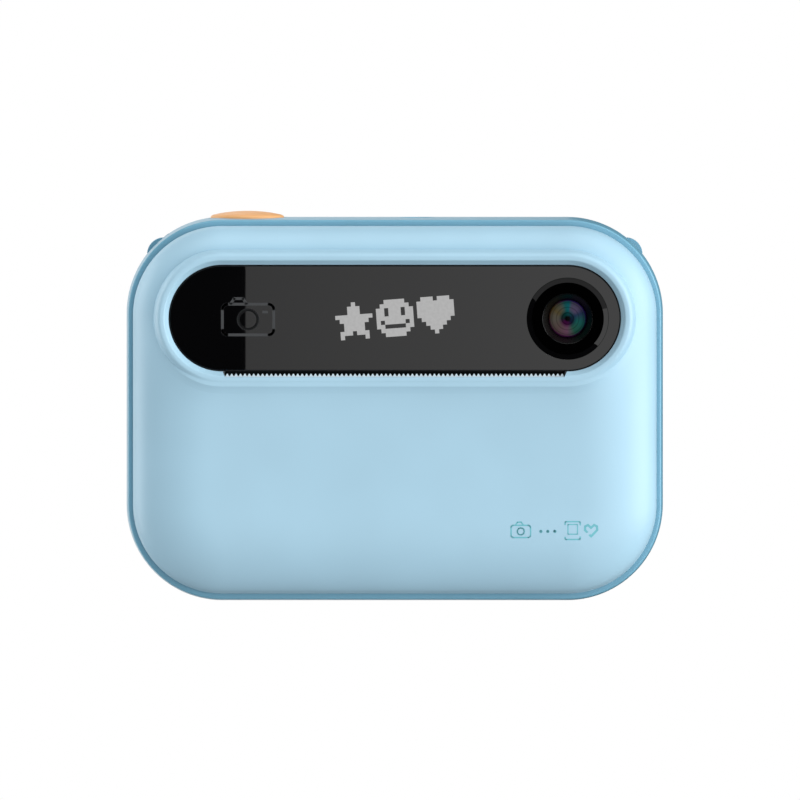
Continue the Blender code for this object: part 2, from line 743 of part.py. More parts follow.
def keypad_outline(radius):
    """Round about the pad, and square below it for the small keys."""
    top = arc((PAD.x, PAD.z), radius, 0, 180, 12)
    half_width, low = radius + 2.2, 46.0 - radius
    left, right = PAD.x - half_width, PAD.x + half_width
    bottom = [(left + 1.5, low), (right - 1.5, low)]
    return top + [(left, 44.0), (left, low + 1.5), *bottom, (right, low + 1.5), (right, 44.0)]


def make_battery_and_speaker():
    box("battery", (-26.0, -17.2, 9.5), (26.0, -13.3, 32.0), "battery_silver", bevel=0.8)
    speaker = plate("speaker", [rounded_box((32.6, 13.4), (43.4, 28.4), 3.0)], "Y", 12.5, 16.0, "barrel_grey")
    hollow = rounded_box((33.8, 14.6), (42.2, 27.2), 2.2)
    return cut(speaker, plate("speaker_hollow", [hollow], "Y", 15.0, 18.0))


def make_ports():
    shell = rounded_box((PORT_Y - 1.6, USB_Z - 4.5), (PORT_Y + 1.6, USB_Z + 4.5), 1.5)
    opening = rounded_box((PORT_Y - 1.3, USB_Z - 4.2), (PORT_Y + 1.3, USB_Z + 4.2), 1.2)
    usb = plate("usb_port", [shell], "X", 38.6, 45.4, "steel")
    mouth = plate("usb_mouth", [opening], "X", 40.0, 48.0)
    cut(usb, mouth)
    tongue = box("usb_tongue", (39.5, PORT_Y - 0.35, USB_Z - 3.3), (45.0, PORT_Y + 0.35, USB_Z + 3.3))
    join(usb, tongue)
    socket = box("card_socket", (30.6, 3.3, CARD_Z - 6.8), (45.4, 5.7, CARD_Z + 6.8), "steel")
    cut(socket, box("card_pocket", (30.95, 3.75, CARD_Z - 5.8), (48.0, 5.3, CARD_Z + 5.8)))
    card = box("memory_card", (31.6, 4.05, CARD_Z - 5.5), (46.6, 5.0, CARD_Z + 5.5), "card_black")
    move_origin(card, Vector((46.6, 4.5, CARD_Z)))


def make_port_cover():
    """A soft flap, flush in the frame's side, that swings on its rear edge."""
    flap = plate("port_cover", [rounded_box((0.5, 21.8), (7.3, 47.7), 1.2)], "X", 46.9, 47.9, "frame_blue")
    join(flap, box("port_cover_lip", (47.6, 1.1, 33.0), (48.2, 1.7, 36.5)))
    return move_origin(flap, Vector((47.9, 7.3, 34.75)))


# ---------------------------------------------------------------- buttons


def make_top_buttons():
    up = (0.0, 0.0, 1.0)
    dome = [(0.0, 1.15), (2.0, 1.08), (4.0, 0.84), (5.5, 0.52), (6.3, 0.28), (SHUTTER_RADIUS, -0.05)]
    foot = [(SHUTTER_RADIUS, -3.1), (7.4, -3.1), (7.4, -4.2), (0.0, -4.2)]
    turned("shutter_button", dome + foot, SHUTTER, up, "button_orange", segments=32)
    dish = [(0.0, -0.35), (1.6, -0.28), (2.6, -0.1), (POWER_RADIUS, -0.3), (POWER_RADIUS, -3.1)]
    turned("power_key", [*dish, (4.2, -3.1), (4.2, -4.2), (0.0, -4.2)], POWER, up, "frame_blue", segments=20)
    coil_spring("shutter_spring", SHUTTER, 60.95, 64.45, 4.6, 3.5)
    coil_spring("power_spring", POWER, 60.95, 64.45, 3.7, 3.5)


def pad_ring(name):
    """The whole direction ring: each key is a quarter of it."""
    profile = [
        (PAD_INNER, 20.55), (5.5, 20.75), (8.9, KEY_CROWN), (9.3, 20.85), (PAD_RADIUS, 20.5),
        (PAD_RADIUS, 17.6), (10.2, 17.6), (10.2, KEY_FOOT), (PAD_INNER, KEY_FOOT),
    ]
    return turned(name, profile, PAD, (0, 1, 0), "key_blue", segments=32)


def make_keys():
    reach, slit = 14.0, 0.25
    for name, middle in (("up_key", 90), ("left_key", 180), ("down_key", 270), ("right_key", 0)):
        ring = pad_ring(name)
        angle = math.radians(middle)
        out, across = Vector((math.cos(angle), math.sin(angle))), Vector((-math.sin(angle), math.cos(angle)))
        start = Vector((PAD.x, PAD.z)) + out * (slit * math.sqrt(2))
        corners = [start, start + (out - across) * reach, start + (out + across) * reach]
        keep_inside(ring, plate(name + "_wedge", [[tuple(c) for c in corners]], "Y", 12.0, 24.0))
    ok = [(0, 20.95), (2.2, 20.85), (3.8, 20.6), (OK_RADIUS, 20.1), (OK_RADIUS, KEY_FOOT), (0, KEY_FOOT)]
    turned("ok_key", ok, PAD, (0, 1, 0), "key_blue", segments=28)
    for name, place in SMALL_KEYS.items():
        cap = [(0, 20.95), (1.4, 20.85), (2.2, 20.6), (SMALL_KEY_RADIUS, 20.2)]
        foot = [(SMALL_KEY_RADIUS, 17.6), (3.2, 17.6), (3.2, KEY_FOOT), (0, KEY_FOOT)]
        colour = "button_orange" if name == "print_key" else "key_blue"
        turned(name, cap + foot, place, (0, 1, 0), colour, segments=16)


# ---------------------------------------------------------------- printer


def beside(axis, angle, distance):
    """The axis parallel to another one, at an angle in the YZ plane from +Y towards +Z."""
    return axis + Vector((0.0, math.cos(angle), math.sin(angle))) * distance


def pitch_radius(teeth):
    return MODULE * teeth / 2


GEAR_AXIS = beside(
    PLATEN_AXIS, SMALL_GEAR_ANGLE, pitch_radius(PLATEN_TEETH) + pitch_radius(SMALL_TEETH) + MESH_SLACK
)
MOTOR_AXIS = beside(
    GEAR_AXIS, PINION_ANGLE, pitch_radius(BIG_TEETH) + pitch_radius(PINION_TEETH) + MESH_SLACK
)


def gear_outline(axis, teeth, facing_angle, tooth_there):
    """A spur gear's outline in YZ, with a tooth or a gap turned to the facing angle."""
    radius, pitch = pitch_radius(teeth), 2 * math.pi / teeth
    first = facing_angle if tooth_there else facing_angle + pitch / 2
    corners = ((-0.29, -0.55), (-0.1, 0.4), (0.1, 0.4), (0.29, -0.55))
    points = []
    for i in range(teeth):
        for turn, rise in corners:
            angle = first + (i + turn) * pitch
            points.append((
                axis.y + (radius + rise) * math.cos(angle),
                axis.z + (radius + rise) * math.sin(angle),
            ))
    return points


def bore_outline(axis, radius):
    return circle((axis.y, axis.z), radius, 14)


def along_x(axis, x):
    return Vector((x, axis.y, axis.z))


def make_platen():
    length = 28.8
    roller = [(1.25, length), (3.7, length), (PLATEN_RADIUS, length - 0.3)]
    roller += [(PLATEN_RADIUS, 0.3 - length), (3.7, -length), (1.25, -length)]
    turned("platen_roller", roller, PLATEN_AXIS, (1, 0, 0), "rubber_black", segments=20)
    left, right = along_x(PLATEN_AXIS, -33.4), along_x(PLATEN_AXIS, 31.8)
    shaft = cylinder("platen_shaft", left, right, SHAFT_RADIUS, "steel", 16)
    outline = gear_outline(PLATEN_AXIS, PLATEN_TEETH, SMALL_GEAR_ANGLE, True)
    gear = plate("platen_gear", [outline, bore_outline(PLATEN_AXIS, 1.2)], "X", -33.4, -31.5, "gear_white")
    for obj in (shaft, gear):
        move_origin(obj, PLATEN_AXIS)


def make_reduction():
    """The big gear that the motor drives, and the small one on the same hub that drives the platen."""
    bore = bore_outline(GEAR_AXIS, 1.0)
    small = gear_outline(GEAR_AXIS, SMALL_TEETH, SMALL_GEAR_ANGLE + math.pi, False)
    big = gear_outline(GEAR_AXIS, BIG_TEETH, PINION_ANGLE, True)
    gear = plate("reduction_gear", [big, bore], "X", -35.7, -33.7, "gear_white")
    join(gear, plate("small_gear", [small, bore_outline(GEAR_AXIS, 0.98)], "X", -34.3, -31.5))
    move_origin(gear, GEAR_AXIS)
    cylinder("reduction_pin", along_x(GEAR_AXIS, -36.1), along_x(GEAR_AXIS, -30.6), 0.8, "steel", 14)


def make_motor():
    can = cylinder("motor", along_x(MOTOR_AXIS, -44.3), along_x(MOTOR_AXIS, -36.3), 7.4, "steel", 28)
    corner = Vector((0, 10.2, 1.8))
    ears = box("motor_ears", along_x(MOTOR_AXIS, -37.0) - corner, along_x(MOTOR_AXIS, -36.4) + corner)
    bore = cylinder("motor_bore", along_x(MOTOR_AXIS, -39.0), along_x(MOTOR_AXIS, -35.0), 1.0, segments=14)
    cut(join(can, ears), bore)
    outline = gear_outline(MOTOR_AXIS, PINION_TEETH, PINION_ANGLE + math.pi, False)
    pinion = plate("motor_pinion", [outline], "X", -35.8, -33.6, "gear_white")
    tip, root = along_x(MOTOR_AXIS, -38.6), along_x(MOTOR_AXIS, -35.0)
    join(pinion, cylinder("motor_shaft", tip, root, 0.7, segments=14))
    move_origin(pinion, MOTOR_AXIS)


def make_printer_frame():
    """Two side plates and the roof that the head's springs push on."""
    inner, outer = 30.5, 31.2
    frame = box("printer_frame", (-30.9, -7.2, 47.8), (30.9, 0.3, 49.0), "aluminium")
    outline = [
        (-16.4, 34.2), (-9.5, 26.0), (0.5, 26.0), (0.5, 48.6), (-7.4, 48.6), (-7.4, 45.2), (-16.4, 45.2),
    ]
    join(frame, plate("side_plate_left", [outline], "X", -outer, -inner))
    join(frame, plate("side_plate_right", [outline], "X", inner, outer))
    ways = (("platen_way", PLATEN_AXIS, 1.2), ("pivot_way", HEAD_PIVOT, 1.0), ("pin_way", GEAR_AXIS, 1.0))
    for name, axis, radius in ways:
        cut(frame, cylinder(name, along_x(axis, -35), along_x(axis, 35), radius, segments=12))
    return frame


def make_head():
    """The thermal line head under its sprung bracket, which pivots at the rear."""
    head = box("thermal_head", (-28.4, -16.0, 41.6), (28.4, -6.8, 43.3), "aluminium", bevel=0.25)
    bracket = box("head_bracket", (-28.6, -15.6, 43.6), (28.6, -1.6, 44.6), "steel")
    for name, reach, radius, segments in (("bracket_barrel", 28.9, 1.4, 16), ("bracket_pins", 31.1, 0.8, 12)):
        left, right = along_x(HEAD_PIVOT, -reach), along_x(HEAD_PIVOT, reach)
        join(bracket, cylinder(name, left, right, radius, segments=segments))
    for obj in (head, bracket):
        move_origin(obj, HEAD_PIVOT)
    for name, x in (("head_spring_left", -18.0), ("head_spring_right", 18.0)):
        coil_spring(name, Vector((x, -5.0, 0.0)), 44.75, 47.65, 2.0, 3.0)


def make_paper():
    outer = BAY_HALF_WIDTH + BAY_WALL
    outline = [
        (-12.7, 7.2), (-9.0, 3.2), (13.0, 3.2), (16.4, 6.4), (16.4, 34.0), (-6.3, 34.0), (-12.7, 29.5),
    ]
    bay = plate("paper_bay", [outline], "X", -outer, outer, "bay_grey")
    hollow = [
        (-11.7, 7.5), (-8.6, 4.2), (12.6, 4.2), (20.0, 11.6), (20.0, 33.0), (-6.6, 33.0), (-11.7, 29.0),
    ]
    cut(bay, plate("bay_hollow", [hollow], "X", -BAY_HALF_WIDTH, BAY_HALF_WIDTH))
    cut(bay, box("paper_way", (-BAY_HALF_WIDTH, -10.6, 28.0), (BAY_HALF_WIDTH, -7.6, 36.0)))

    w, r = PAPER_HALF_WIDTH, ROLL_RADIUS
    bore = CORE_RADIUS + 0.15
    paper = [(bore, w), (r - 0.2, w), (r, w - 0.2), (r, 0.2 - w), (r - 0.2, -w), (bore, -w)]
    turned("paper_roll", paper, ROLL_AXIS, (1, 0, 0), "paper_white", segments=32)
    tube = [(5.0, w - 0.3), (CORE_RADIUS, w - 0.3), (CORE_RADIUS, 0.3 - w), (5.0, 0.3 - w)]
    turned("roll_core", tube, ROLL_AXIS, (1, 0, 0), "card_board", segments=24)
    make_paper_web()


def make_paper_web():
    """The paper on its way from the front of the roll, over the platen and out at the slot."""
    inside = [(ROLL_AXIS.y - ROLL_RADIUS - 0.15, ROLL_AXIS.z + 0.5)]
    outside = [(inside[0][0] - 0.2, inside[0][1])]
    centre = (PLATEN_AXIS.y, PLATEN_AXIS.z)
    inner_turn = arc(centre, PLATEN_RADIUS + 0.12, -6, 90, 12)
    outer_turn = arc(centre, PLATEN_RADIUS + 0.32, -6, 90, 12)
    leave = -15.9
    inner_end, outer_end = (leave, inner_turn[-1][1]), (leave, outer_turn[-1][1])
    outline = inside + inner_turn + [inner_end, outer_end] + outer_turn[::-1] + outside
    return plate("paper_web", [outline], "X", -PAPER_HALF_WIDTH, PAPER_HALF_WIDTH, "paper_white")


def main():
    clear_scene()
    make_collections()
    make_front_cover()
    make_tear_bar()
    make_middle_frame()
    make_strap_loop("strap_loop_left", -1)
    make_strap_loop("strap_loop_right", 1)
    make_back_cover()
    make_paper_door()
    make_door_pin()
    make_screws()
    make_front_panel()
    make_lens()
    make_displays()
    make_boards()
    make_battery_and_speaker()
    make_ports()
    make_port_cover()
    make_top_buttons()
    make_keys()
    make_platen()
    make_reduction()
    make_motor()
    make_printer_frame()
    make_head()
    make_paper()


main()
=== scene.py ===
"""Looks for the kids' instant-print camera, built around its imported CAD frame."""

import json
import math

import bmesh
import bpy
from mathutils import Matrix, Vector

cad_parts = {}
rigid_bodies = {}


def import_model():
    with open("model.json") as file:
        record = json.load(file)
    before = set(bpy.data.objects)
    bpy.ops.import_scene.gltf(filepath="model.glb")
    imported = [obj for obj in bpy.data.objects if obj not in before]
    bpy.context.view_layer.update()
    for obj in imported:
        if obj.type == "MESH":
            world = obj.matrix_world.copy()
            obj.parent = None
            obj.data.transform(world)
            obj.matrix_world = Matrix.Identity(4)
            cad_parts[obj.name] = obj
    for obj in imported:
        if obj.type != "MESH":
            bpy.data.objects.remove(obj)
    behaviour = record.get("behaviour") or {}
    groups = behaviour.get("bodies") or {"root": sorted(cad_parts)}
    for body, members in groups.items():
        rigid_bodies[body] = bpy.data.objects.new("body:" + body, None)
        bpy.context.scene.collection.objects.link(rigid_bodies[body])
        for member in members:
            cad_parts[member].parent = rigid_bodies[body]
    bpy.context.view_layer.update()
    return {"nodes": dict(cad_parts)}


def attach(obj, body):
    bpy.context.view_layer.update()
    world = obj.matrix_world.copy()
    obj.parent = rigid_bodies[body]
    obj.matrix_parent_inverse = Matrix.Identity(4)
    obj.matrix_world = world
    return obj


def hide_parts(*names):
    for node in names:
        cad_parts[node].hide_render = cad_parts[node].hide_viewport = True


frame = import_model()

NODES = frame["nodes"]
MM = 0.001
BODY = "camera_body"
CORNER_STEPS, SIDE_STEPS = 28, 14

# ------------------------------------------------------------------ sizes, in millimetres

WIDTH, HEIGHT, CORNER = 96.4, 68.8, 17.2
MIDDLE_Z = HEIGHT / 2
CORNER_X, CORNER_Z = WIDTH / 2 - CORNER, HEIGHT - CORNER
COVER_HALF_WIDTH, COVER_HALF_HEIGHT, COVER_CORNER = 47.0, 33.0, 16.0
COVER_REAR, COVER_EDGE, COVER_CROWN, COVER_WALL = -11.0, -12.0, -20.0, 1.8
PILLOW_REACH, PILLOW_POWER = 13.5, 2.3
RIM_FRONT, RIM_TOP_END, RIM_SHOULDER, RIM_FALL, RIM_FILLET = -20.998, 11.0, 1.25, 2.8, 0.22
FOOT_DIP, FOOT_FLARE, FOOT_REACH = 0.55, 0.95, 1.9
PANEL_Z, PANEL_RADIUS, PANEL_FRONT = 51.0, 9.35, -20.0
SEAT_RADIUS, SHELF_RADIUS, SHELF_FRONT, SHELF_BACK = 9.55, 8.4, -18.3, -16.8
LENS = Vector((CORNER_X, 0.0, 50.9))
SLOT_HALF_WIDTH, SLOT_LOW, SLOT_HIGH = 31.0, 40.45, 41.6
TEAR_BAR_HALF_WIDTH, TOOTH_HEIGHT, TEETH = 30.42, 0.45, 77
BACK_HALF_WIDTH, BACK_HALF_HEIGHT, BACK_CORNER = 47.8, 34.0, 16.8
BACK_FRONT, BACK_EDGE, BACK_FLAT = 9.3, 14.2, 20.2
BACK_WALL, BACK_POWER = 2.0, 2.4
DOOR_AXIS = Vector((0.0, 18.6, 4.4))
ROLL_AXIS, TURN_SPACING = Vector((0.0, 3.0, 18.6)), 0.32
SHUTTER = Vector((-26.5, -1.0, HEIGHT))
POWER = Vector((4.0, -1.0, HEIGHT))
PAD = Vector((-29.5, 0.0, 49.6))
MENU, PRINT = Vector((-38.8, 0.0, 38.6)), Vector((-20.2, 0.0, 38.6))
SCREWS = {
    "screw_top_left": (-39.0, 59.5),
    "screw_top_right": (39.0, 59.5),
    "screw_bottom_left": (-38.0, 10.5),
    "screw_bottom_right": (38.0, 10.5),
}


# ------------------------------------------------------------------ materials


def srgb(red, green, blue):
    """An sRGB colour, 0 to 255, as linear RGBA."""
    out = []
    for channel in (red, green, blue):
        share = channel / 255
        out.append(share / 12.92 if share <= 0.04045 else ((share + 0.055) / 1.055) ** 2.4)
    return (*out, 1.0)


def tones(*stops):
    """A ramp's stops, from rows of a position and an sRGB colour."""
    return [(position, srgb(*colour)) for position, *colour in stops]


def scaled(colour, factor):
    return (*(min(channel * factor, 1.0) for channel in colour[:3]), 1.0)


class Shader:
    """A Principled material with short calls for the nodes that feed it."""

    def __init__(self, name, colour, roughness, metallic=0.0, **sockets):
        self.material = bpy.data.materials.new(name)
        self.material.use_nodes = True
        self.nodes = self.material.node_tree.nodes
        self.links = self.material.node_tree.links
        self.principled = self.nodes["Principled BSDF"]
        self.set("Base Color", colour)
        self.set("Roughness", roughness)
        self.set("Metallic", metallic)
        for socket, value in sockets.items():
            self.set(socket.replace("_", " "), value)
        self.coordinates = self.nodes.new("ShaderNodeTexCoord").outputs["Object"]

    def set(self, socket, value):
        self.principled.inputs[socket].default_value = value

    def node(self, kind, inputs=None, **properties):
        made = self.nodes.new(kind)
        for key, value in properties.items():
            setattr(made, key, value)
        for socket, value in (inputs or {}).items():
            if hasattr(value, "is_output"):
                self.links.new(value, made.inputs[socket])
            else:
                made.inputs[socket].default_value = value
        return made

    def feed(self, output, socket):
        self.links.new(output, self.principled.inputs[socket])

    def noise(self, size_mm, detail=3.0, stretch=(1.0, 1.0, 1.0)):
        """Noise whose features are about this size."""
        scale = [share / (size_mm * MM) for share in stretch]
        mapped = self.node("ShaderNodeMapping", {"Vector": self.coordinates, "Scale": scale})
        inputs = {"Vector": mapped.outputs[0], "Scale": 1.0, "Detail": detail}
        return self.node("ShaderNodeTexNoise", inputs).outputs["Fac"]

    def ramp(self, factor, stops):
        made = self.node("ShaderNodeValToRGB", {"Fac": factor})
        elements = made.color_ramp.elements
        while len(elements) < len(stops):
            elements.new(1.0)
        for element, (position, colour) in zip(elements, stops):
            element.position = position
            element.color = colour
        return made.outputs["Color"]

    def spread(self, factor, low, high):
        """The factor, from 0 to 1, spread over a range of values."""
        inputs = {"Value": factor, "To Min": low, "To Max": high}
        return self.node("ShaderNodeMapRange", inputs).outputs["Result"]

    def maths(self, operation, value, other=0.0):
        return self.node("ShaderNodeMath", {0: value, 1: other}, operation=operation).outputs[0]

    def from_axis(self, axes, centre):
        """The place across an axis through centre, as a vector, and its distance from the axis."""
        split = self.node("ShaderNodeSeparateXYZ", {"Vector": self.coordinates}).outputs
        across = [self.maths("SUBTRACT", split[axis], mm * MM) for axis, mm in zip(axes, centre)]
        point = self.node("ShaderNodeCombineXYZ", dict(zip("XY", across))).outputs[0]
        return point, self.node("ShaderNodeVectorMath", {0: point}, operation="LENGTH").outputs["Value"]

    def mix(self, factor, first, second, blend="MIX"):
        inputs = {0: factor, 6: first, 7: second}
        return self.node("ShaderNodeMix", inputs, data_type="RGBA", blend_type=blend).outputs[2]

    def bump(self, height, depth_mm, normal=None):
        inputs = {"Height": height, "Distance": depth_mm * MM, "Strength": 1.0}
        if normal is not None:
            inputs["Normal"] = normal
        return self.node("ShaderNodeBump", inputs).outputs["Normal"]


def moulded(name, colour, roughness, grain_mm=0.35, depth_mm=0.004, tint=0.03, **sockets):
    """Moulded plastic: a fine spark-eroded grain, and a faint unevenness of colour and gloss."""
    shader = Shader(name, colour, roughness, **sockets)
    broad = shader.noise(22.0, 2.0)
    stops = [(0.3, scaled(colour, 1 - tint)), (0.7, scaled(colour, 1 + tint))]
    shader.feed(shader.ramp(broad, stops), "Base Color")
    fine = shader.noise(grain_mm, 2.0)
    shader.feed(shader.spread(fine, roughness - 0.04, roughness + 0.04), "Roughness")
    shader.feed(shader.bump(fine, depth_mm), "Normal")
    return shader.material


def metal(name, colour, roughness, brush=(1.0, 1.0, 1.0), grain_mm=0.4):
    shader = Shader(name, colour, roughness, metallic=1.0)
    grain = shader.noise(grain_mm, 3.0, brush)
    shader.feed(shader.ramp(grain, [(0.25, scaled(colour, 0.86)), (0.75, colour)]), "Base Color")
    shader.feed(shader.spread(grain, roughness - 0.07, roughness + 0.1), "Roughness")
    shader.feed(shader.bump(grain, 0.003), "Normal")
    return shader.material


def circuit_board(name):
    """Green solder mask over copper tracks, dotted with pale pads."""
    shader = Shader(name, srgb(20, 84, 56), 0.38)
    mapped = shader.node("ShaderNodeMapping", {"Vector": shader.coordinates, "Scale": (420.0,) * 3})
    inputs = {
        "Vector": mapped.outputs[0], "Color1": (1, 1, 1, 1), "Color2": (0, 0, 0, 1),
        "Mortar": (0.5, 0.5, 0.5, 1), "Scale": 1.0, "Mortar Size": 0.08,
    }
    tracks = shader.node("ShaderNodeTexBrick", inputs).outputs["Fac"]
    mask = shader.mix(tracks, srgb(18, 78, 52), srgb(38, 118, 78))
    pads = shader.node("ShaderNodeTexVoronoi", {"Vector": mapped.outputs[0], "Scale": 0.55})
    near = shader.ramp(pads.outputs["Distance"], [(0.10, (1, 1, 1, 1)), (0.13, (0, 0, 0, 1))])
    shader.feed(shader.mix(near, mask, srgb(206, 180, 120)), "Base Color")
    shader.feed(shader.bump(tracks, 0.03), "Normal")
    return shader.material


def fibrous(name, colour, low, high, roughness, size_mm, detail, stretch, depth_mm):
    """Paper or board, with its fibres drawn out by stretch."""
    shader = Shader(name, colour, roughness)
    fibre = shader.noise(size_mm, detail, stretch)
    shader.feed(shader.ramp(fibre, [(0.3, low), (0.7, high)]), "Base Color")
    shader.feed(shader.bump(fibre, depth_mm), "Normal")
    return shader.material


def roll_material(name):
    """Thermal paper wound up: the ends show its turns as fine rings about the roll's axis."""
    shader = Shader(name, srgb(246, 245, 240), 0.7)
    far = shader.from_axis("YZ", ROLL_AXIS.yz)[1]
    # The outermost turn is plain, so the rings stop short of it.
    far = shader.maths("MINIMUM", far, 13.28 * MM)
    wave = shader.maths("SINE", shader.maths("MULTIPLY", far, 2 * math.pi / (TURN_SPACING * MM)))
    shade = shader.node("ShaderNodeMapRange", {"Value": wave, "From Min": -1.0}).outputs["Result"]
    shader.feed(shader.ramp(shade, tones((0.1, 205, 203, 196), (0.6, 247, 246, 241))), "Base Color")
    shader.feed(shader.bump(shade, 0.02), "Normal")
    return shader.material


def painted_lens_reflections(name):
    """Painted reflections on a multi-coated element: colours that stand in for reflected softboxes run round
    the axis and change in rings towards the pupil.
    """
    shader = Shader(name, (0, 0, 0, 1), 0.08, Specular_IOR_Level=0.03)
    point, far = shader.from_axis("XZ", (LENS.x, LENS.z))
    share = shader.maths("DIVIDE", far, 3.4 * MM)
    turn = shader.node("ShaderNodeTexGradient", {"Vector": point}, gradient_type="RADIAL").outputs["Fac"]
    # The turn runs from 0 at the left, through 0.25 below, 0.5 at the right and 0.75 above.
    around = shader.ramp(turn, tones(
        (0.00, 98, 93, 84), (0.12, 100, 82, 80), (0.24, 112, 76, 98),
        (0.33, 40, 92, 76), (0.46, 22, 98, 92), (0.56, 44, 60, 92),
        (0.62, 92, 80, 112), (0.70, 88, 84, 108), (0.735, 14, 104, 112),
        (0.78, 30, 96, 96), (0.83, 84, 88, 76), (0.91, 96, 84, 56),
        (0.97, 98, 92, 80),
    ))
    inner = shader.ramp(turn, tones(
        (0.00, 40, 50, 60), (0.12, 84, 24, 76), (0.26, 78, 16, 74),
        (0.38, 12, 22, 60), (0.56, 10, 48, 74), (0.72, 6, 86, 90),
        (0.86, 14, 70, 66), (0.97, 36, 56, 58),
    ))
    rim = shader.ramp(turn, tones(
        (0.00, 66, 40, 44), (0.16, 78, 20, 74), (0.28, 60, 8, 66),
        (0.42, 14, 18, 40), (0.58, 40, 18, 86), (0.70, 44, 20, 92),
        (0.80, 58, 30, 70), (0.90, 82, 66, 28), (0.97, 74, 48, 36),
    ))
    colour = srgb(2, 2, 4)
    bands = ((0.10, 0.19, inner), (0.30, 0.50, around), (0.88, 0.95, rim), (0.985, 1.0, srgb(5, 5, 7)))
    for start, end, outer in bands:
        edge = shader.ramp(share, [(start, (0, 0, 0, 1)), (end, (1, 1, 1, 1))])
        colour = shader.mix(edge, colour, outer)
    # Painted rings of lighter and darker reflection, towards the pupil.
    greys = [
        (0.00, 160), (0.27, 175), (0.31, 120), (0.36, 205), (0.55, 215), (0.60, 170), (0.64, 225),
        (0.80, 215), (0.84, 165), (0.87, 215), (1.00, 225),
    ]
    rings = shader.ramp(share, tones(*((position, grey, grey, grey) for position, grey in greys)))
    shader.feed(shader.mix(1.0, colour, rings, "MULTIPLY"), "Base Color")
    return shader.material


def glowing(name, colour, strength):
    """Lit dots of a display, with a slight unevenness from dot to dot."""
    shader = Shader(name, (0, 0, 0, 1), 0.6, Specular_IOR_Level=0.0, Emission_Strength=strength)
    dots = shader.noise(0.5, 1.0)
    shader.feed(shader.ramp(dots, [(0.35, scaled(colour, 0.93)), (0.65, colour)]), "Emission Color")
    return shader.material


def polished(name, colour, roughness=0.02, **sockets):
    """Polished plastic or glass, with the faint smears that handling leaves."""
    shader = Shader(name, colour, roughness, **sockets)
    smear = shader.noise(9.0, 3.0, (1.0, 1.0, 0.4))
    shader.feed(shader.spread(smear, roughness * 0.8, roughness * 1.4), "Roughness")
    tone = shader.noise(30.0, 1.0)
    shader.feed(shader.ramp(tone, [(0.3, scaled(colour, 0.8)), (0.7, colour)]), "Base Color")
    return shader.material


COVER = moulded("cover_plastic", srgb(170, 208, 227), 0.40)
FRAME = moulded("frame_plastic", srgb(117, 173, 197), 0.30, depth_mm=0.002)
# Pale teeth: a lighter plastic insert, with a painted highlight where each tooth catches the light from
# above.
TEAR_BAR = moulded("tear_bar_plastic_and_highlight", srgb(222, 238, 245), 0.38, depth_mm=0.001)
ORANGE = moulded("orange_plastic", srgb(243, 181, 121), 0.42, depth_mm=0.003)
KEY = moulded("key_plastic", srgb(132, 181, 202), 0.42, depth_mm=0.003)
PRINTED_TEAL = moulded("teal_print", srgb(112, 190, 202), 0.5, depth_mm=0.001)
PRINTED_WHITE = moulded("white_print", srgb(238, 244, 246), 0.5, depth_mm=0.001)
PANEL = polished("panel_acrylic", srgb(7, 7, 8), 0.004)
PANEL_MARK = moulded("panel_print", srgb(58, 60, 62), 0.35, depth_mm=0.0)
LENS_BLACK = moulded("lens_black", srgb(1, 1, 1), 0.8, depth_mm=0.002, Specular_IOR_Level=0.0)
BARREL = moulded("barrel_plastic", srgb(6, 6, 6), 0.28, depth_mm=0.001, Specular_IOR_Level=0.5)
DARK = moulded("dark_plastic", srgb(18, 19, 20), 0.55)
# A dark teal sheet behind the paper slot: painted shade for the slot's shadowed inside.
SLOT_SHADE = moulded("painted_slot_shade", srgb(3, 18, 18), 0.45, Specular_IOR_Level=0.1)
BAY = moulded("bay_plastic", srgb(196, 203, 208), 0.5)
GEAR = moulded("acetal", srgb(230, 228, 218), 0.42, depth_mm=0.002)
RUBBER = moulded("roller_rubber", srgb(24, 24, 25), 0.8, depth_mm=0.01)
SILICONE = moulded("silicone", srgb(72, 76, 80), 0.75, depth_mm=0.006)
POUCH = moulded("battery_pouch", srgb(178, 182, 187), 0.38, grain_mm=1.2, depth_mm=0.03, metallic=0.35)
SCREEN = polished("screen_glass", srgb(12, 13, 16), 0.05)
STEEL = metal("bright_steel", srgb(196, 198, 201), 0.26)
SPRING = metal("spring_wire", srgb(170, 173, 178), 0.3)
ALUMINIUM = metal("aluminium_sheet", srgb(203, 205, 208), 0.36, (0.2, 1.0, 1.0))
GOLD = metal("gold_contacts", srgb(222, 184, 104), 0.25)
BOARD = circuit_board("solder_mask")
PAPER = fibrous(
    "thermal_paper", srgb(246, 245, 240), srgb(240, 239, 233), srgb(250, 249, 246),
    0.8, 0.5, 4.0, (1.0, 3.0, 3.0), 0.01,
)
ROLL = roll_material("wound_paper")
TUBE = fibrous(
    "tube_board", srgb(170, 136, 98), srgb(150, 118, 82), srgb(186, 152, 112),
    0.9, 0.8, 5.0, (0.3, 1.0, 1.0), 0.03,
)
# Painted reflections of the lens elements, carried in their base colour.
PAINTED_LENS_REFLECTIONS = painted_lens_reflections("painted_lens_reflections")
LIT = glowing("lit_dots", srgb(181, 181, 181), 1.0)


# ------------------------------------------------------------------ meshes


def place(obj, material, body=BODY):
    """Shows a piece on its body. Weighted normals keep its flat faces flat beside their rounded edges."""
    bpy.context.scene.collection.objects.link(obj)
    weighted = obj.modifiers.new("weighted normals", "WEIGHTED_NORMAL")
    weighted.keep_sharp = True
    weighted.weight = 80
    obj.data.materials.clear()
    obj.data.materials.append(material)
    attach(obj, body)


def stand_in(obj, material, node, body=BODY):
    """Shows a piece in place of a CAD node."""
    place(obj, material, body)
    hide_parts(node)


def finished(bm, name):
    bmesh.ops.scale(bm, vec=(MM, MM, MM), verts=bm.verts)
    bmesh.ops.recalc_face_normals(bm, faces=bm.faces)
    mesh = bpy.data.meshes.new(name)
    bm.to_mesh(mesh)
    bm.free()
    smooth(mesh)
    return bpy.data.objects.new(name, mesh)


def smooth(mesh, degrees=40.0):
    mesh.shade_smooth()
    mesh.set_sharp_from_angle(angle=math.radians(degrees))


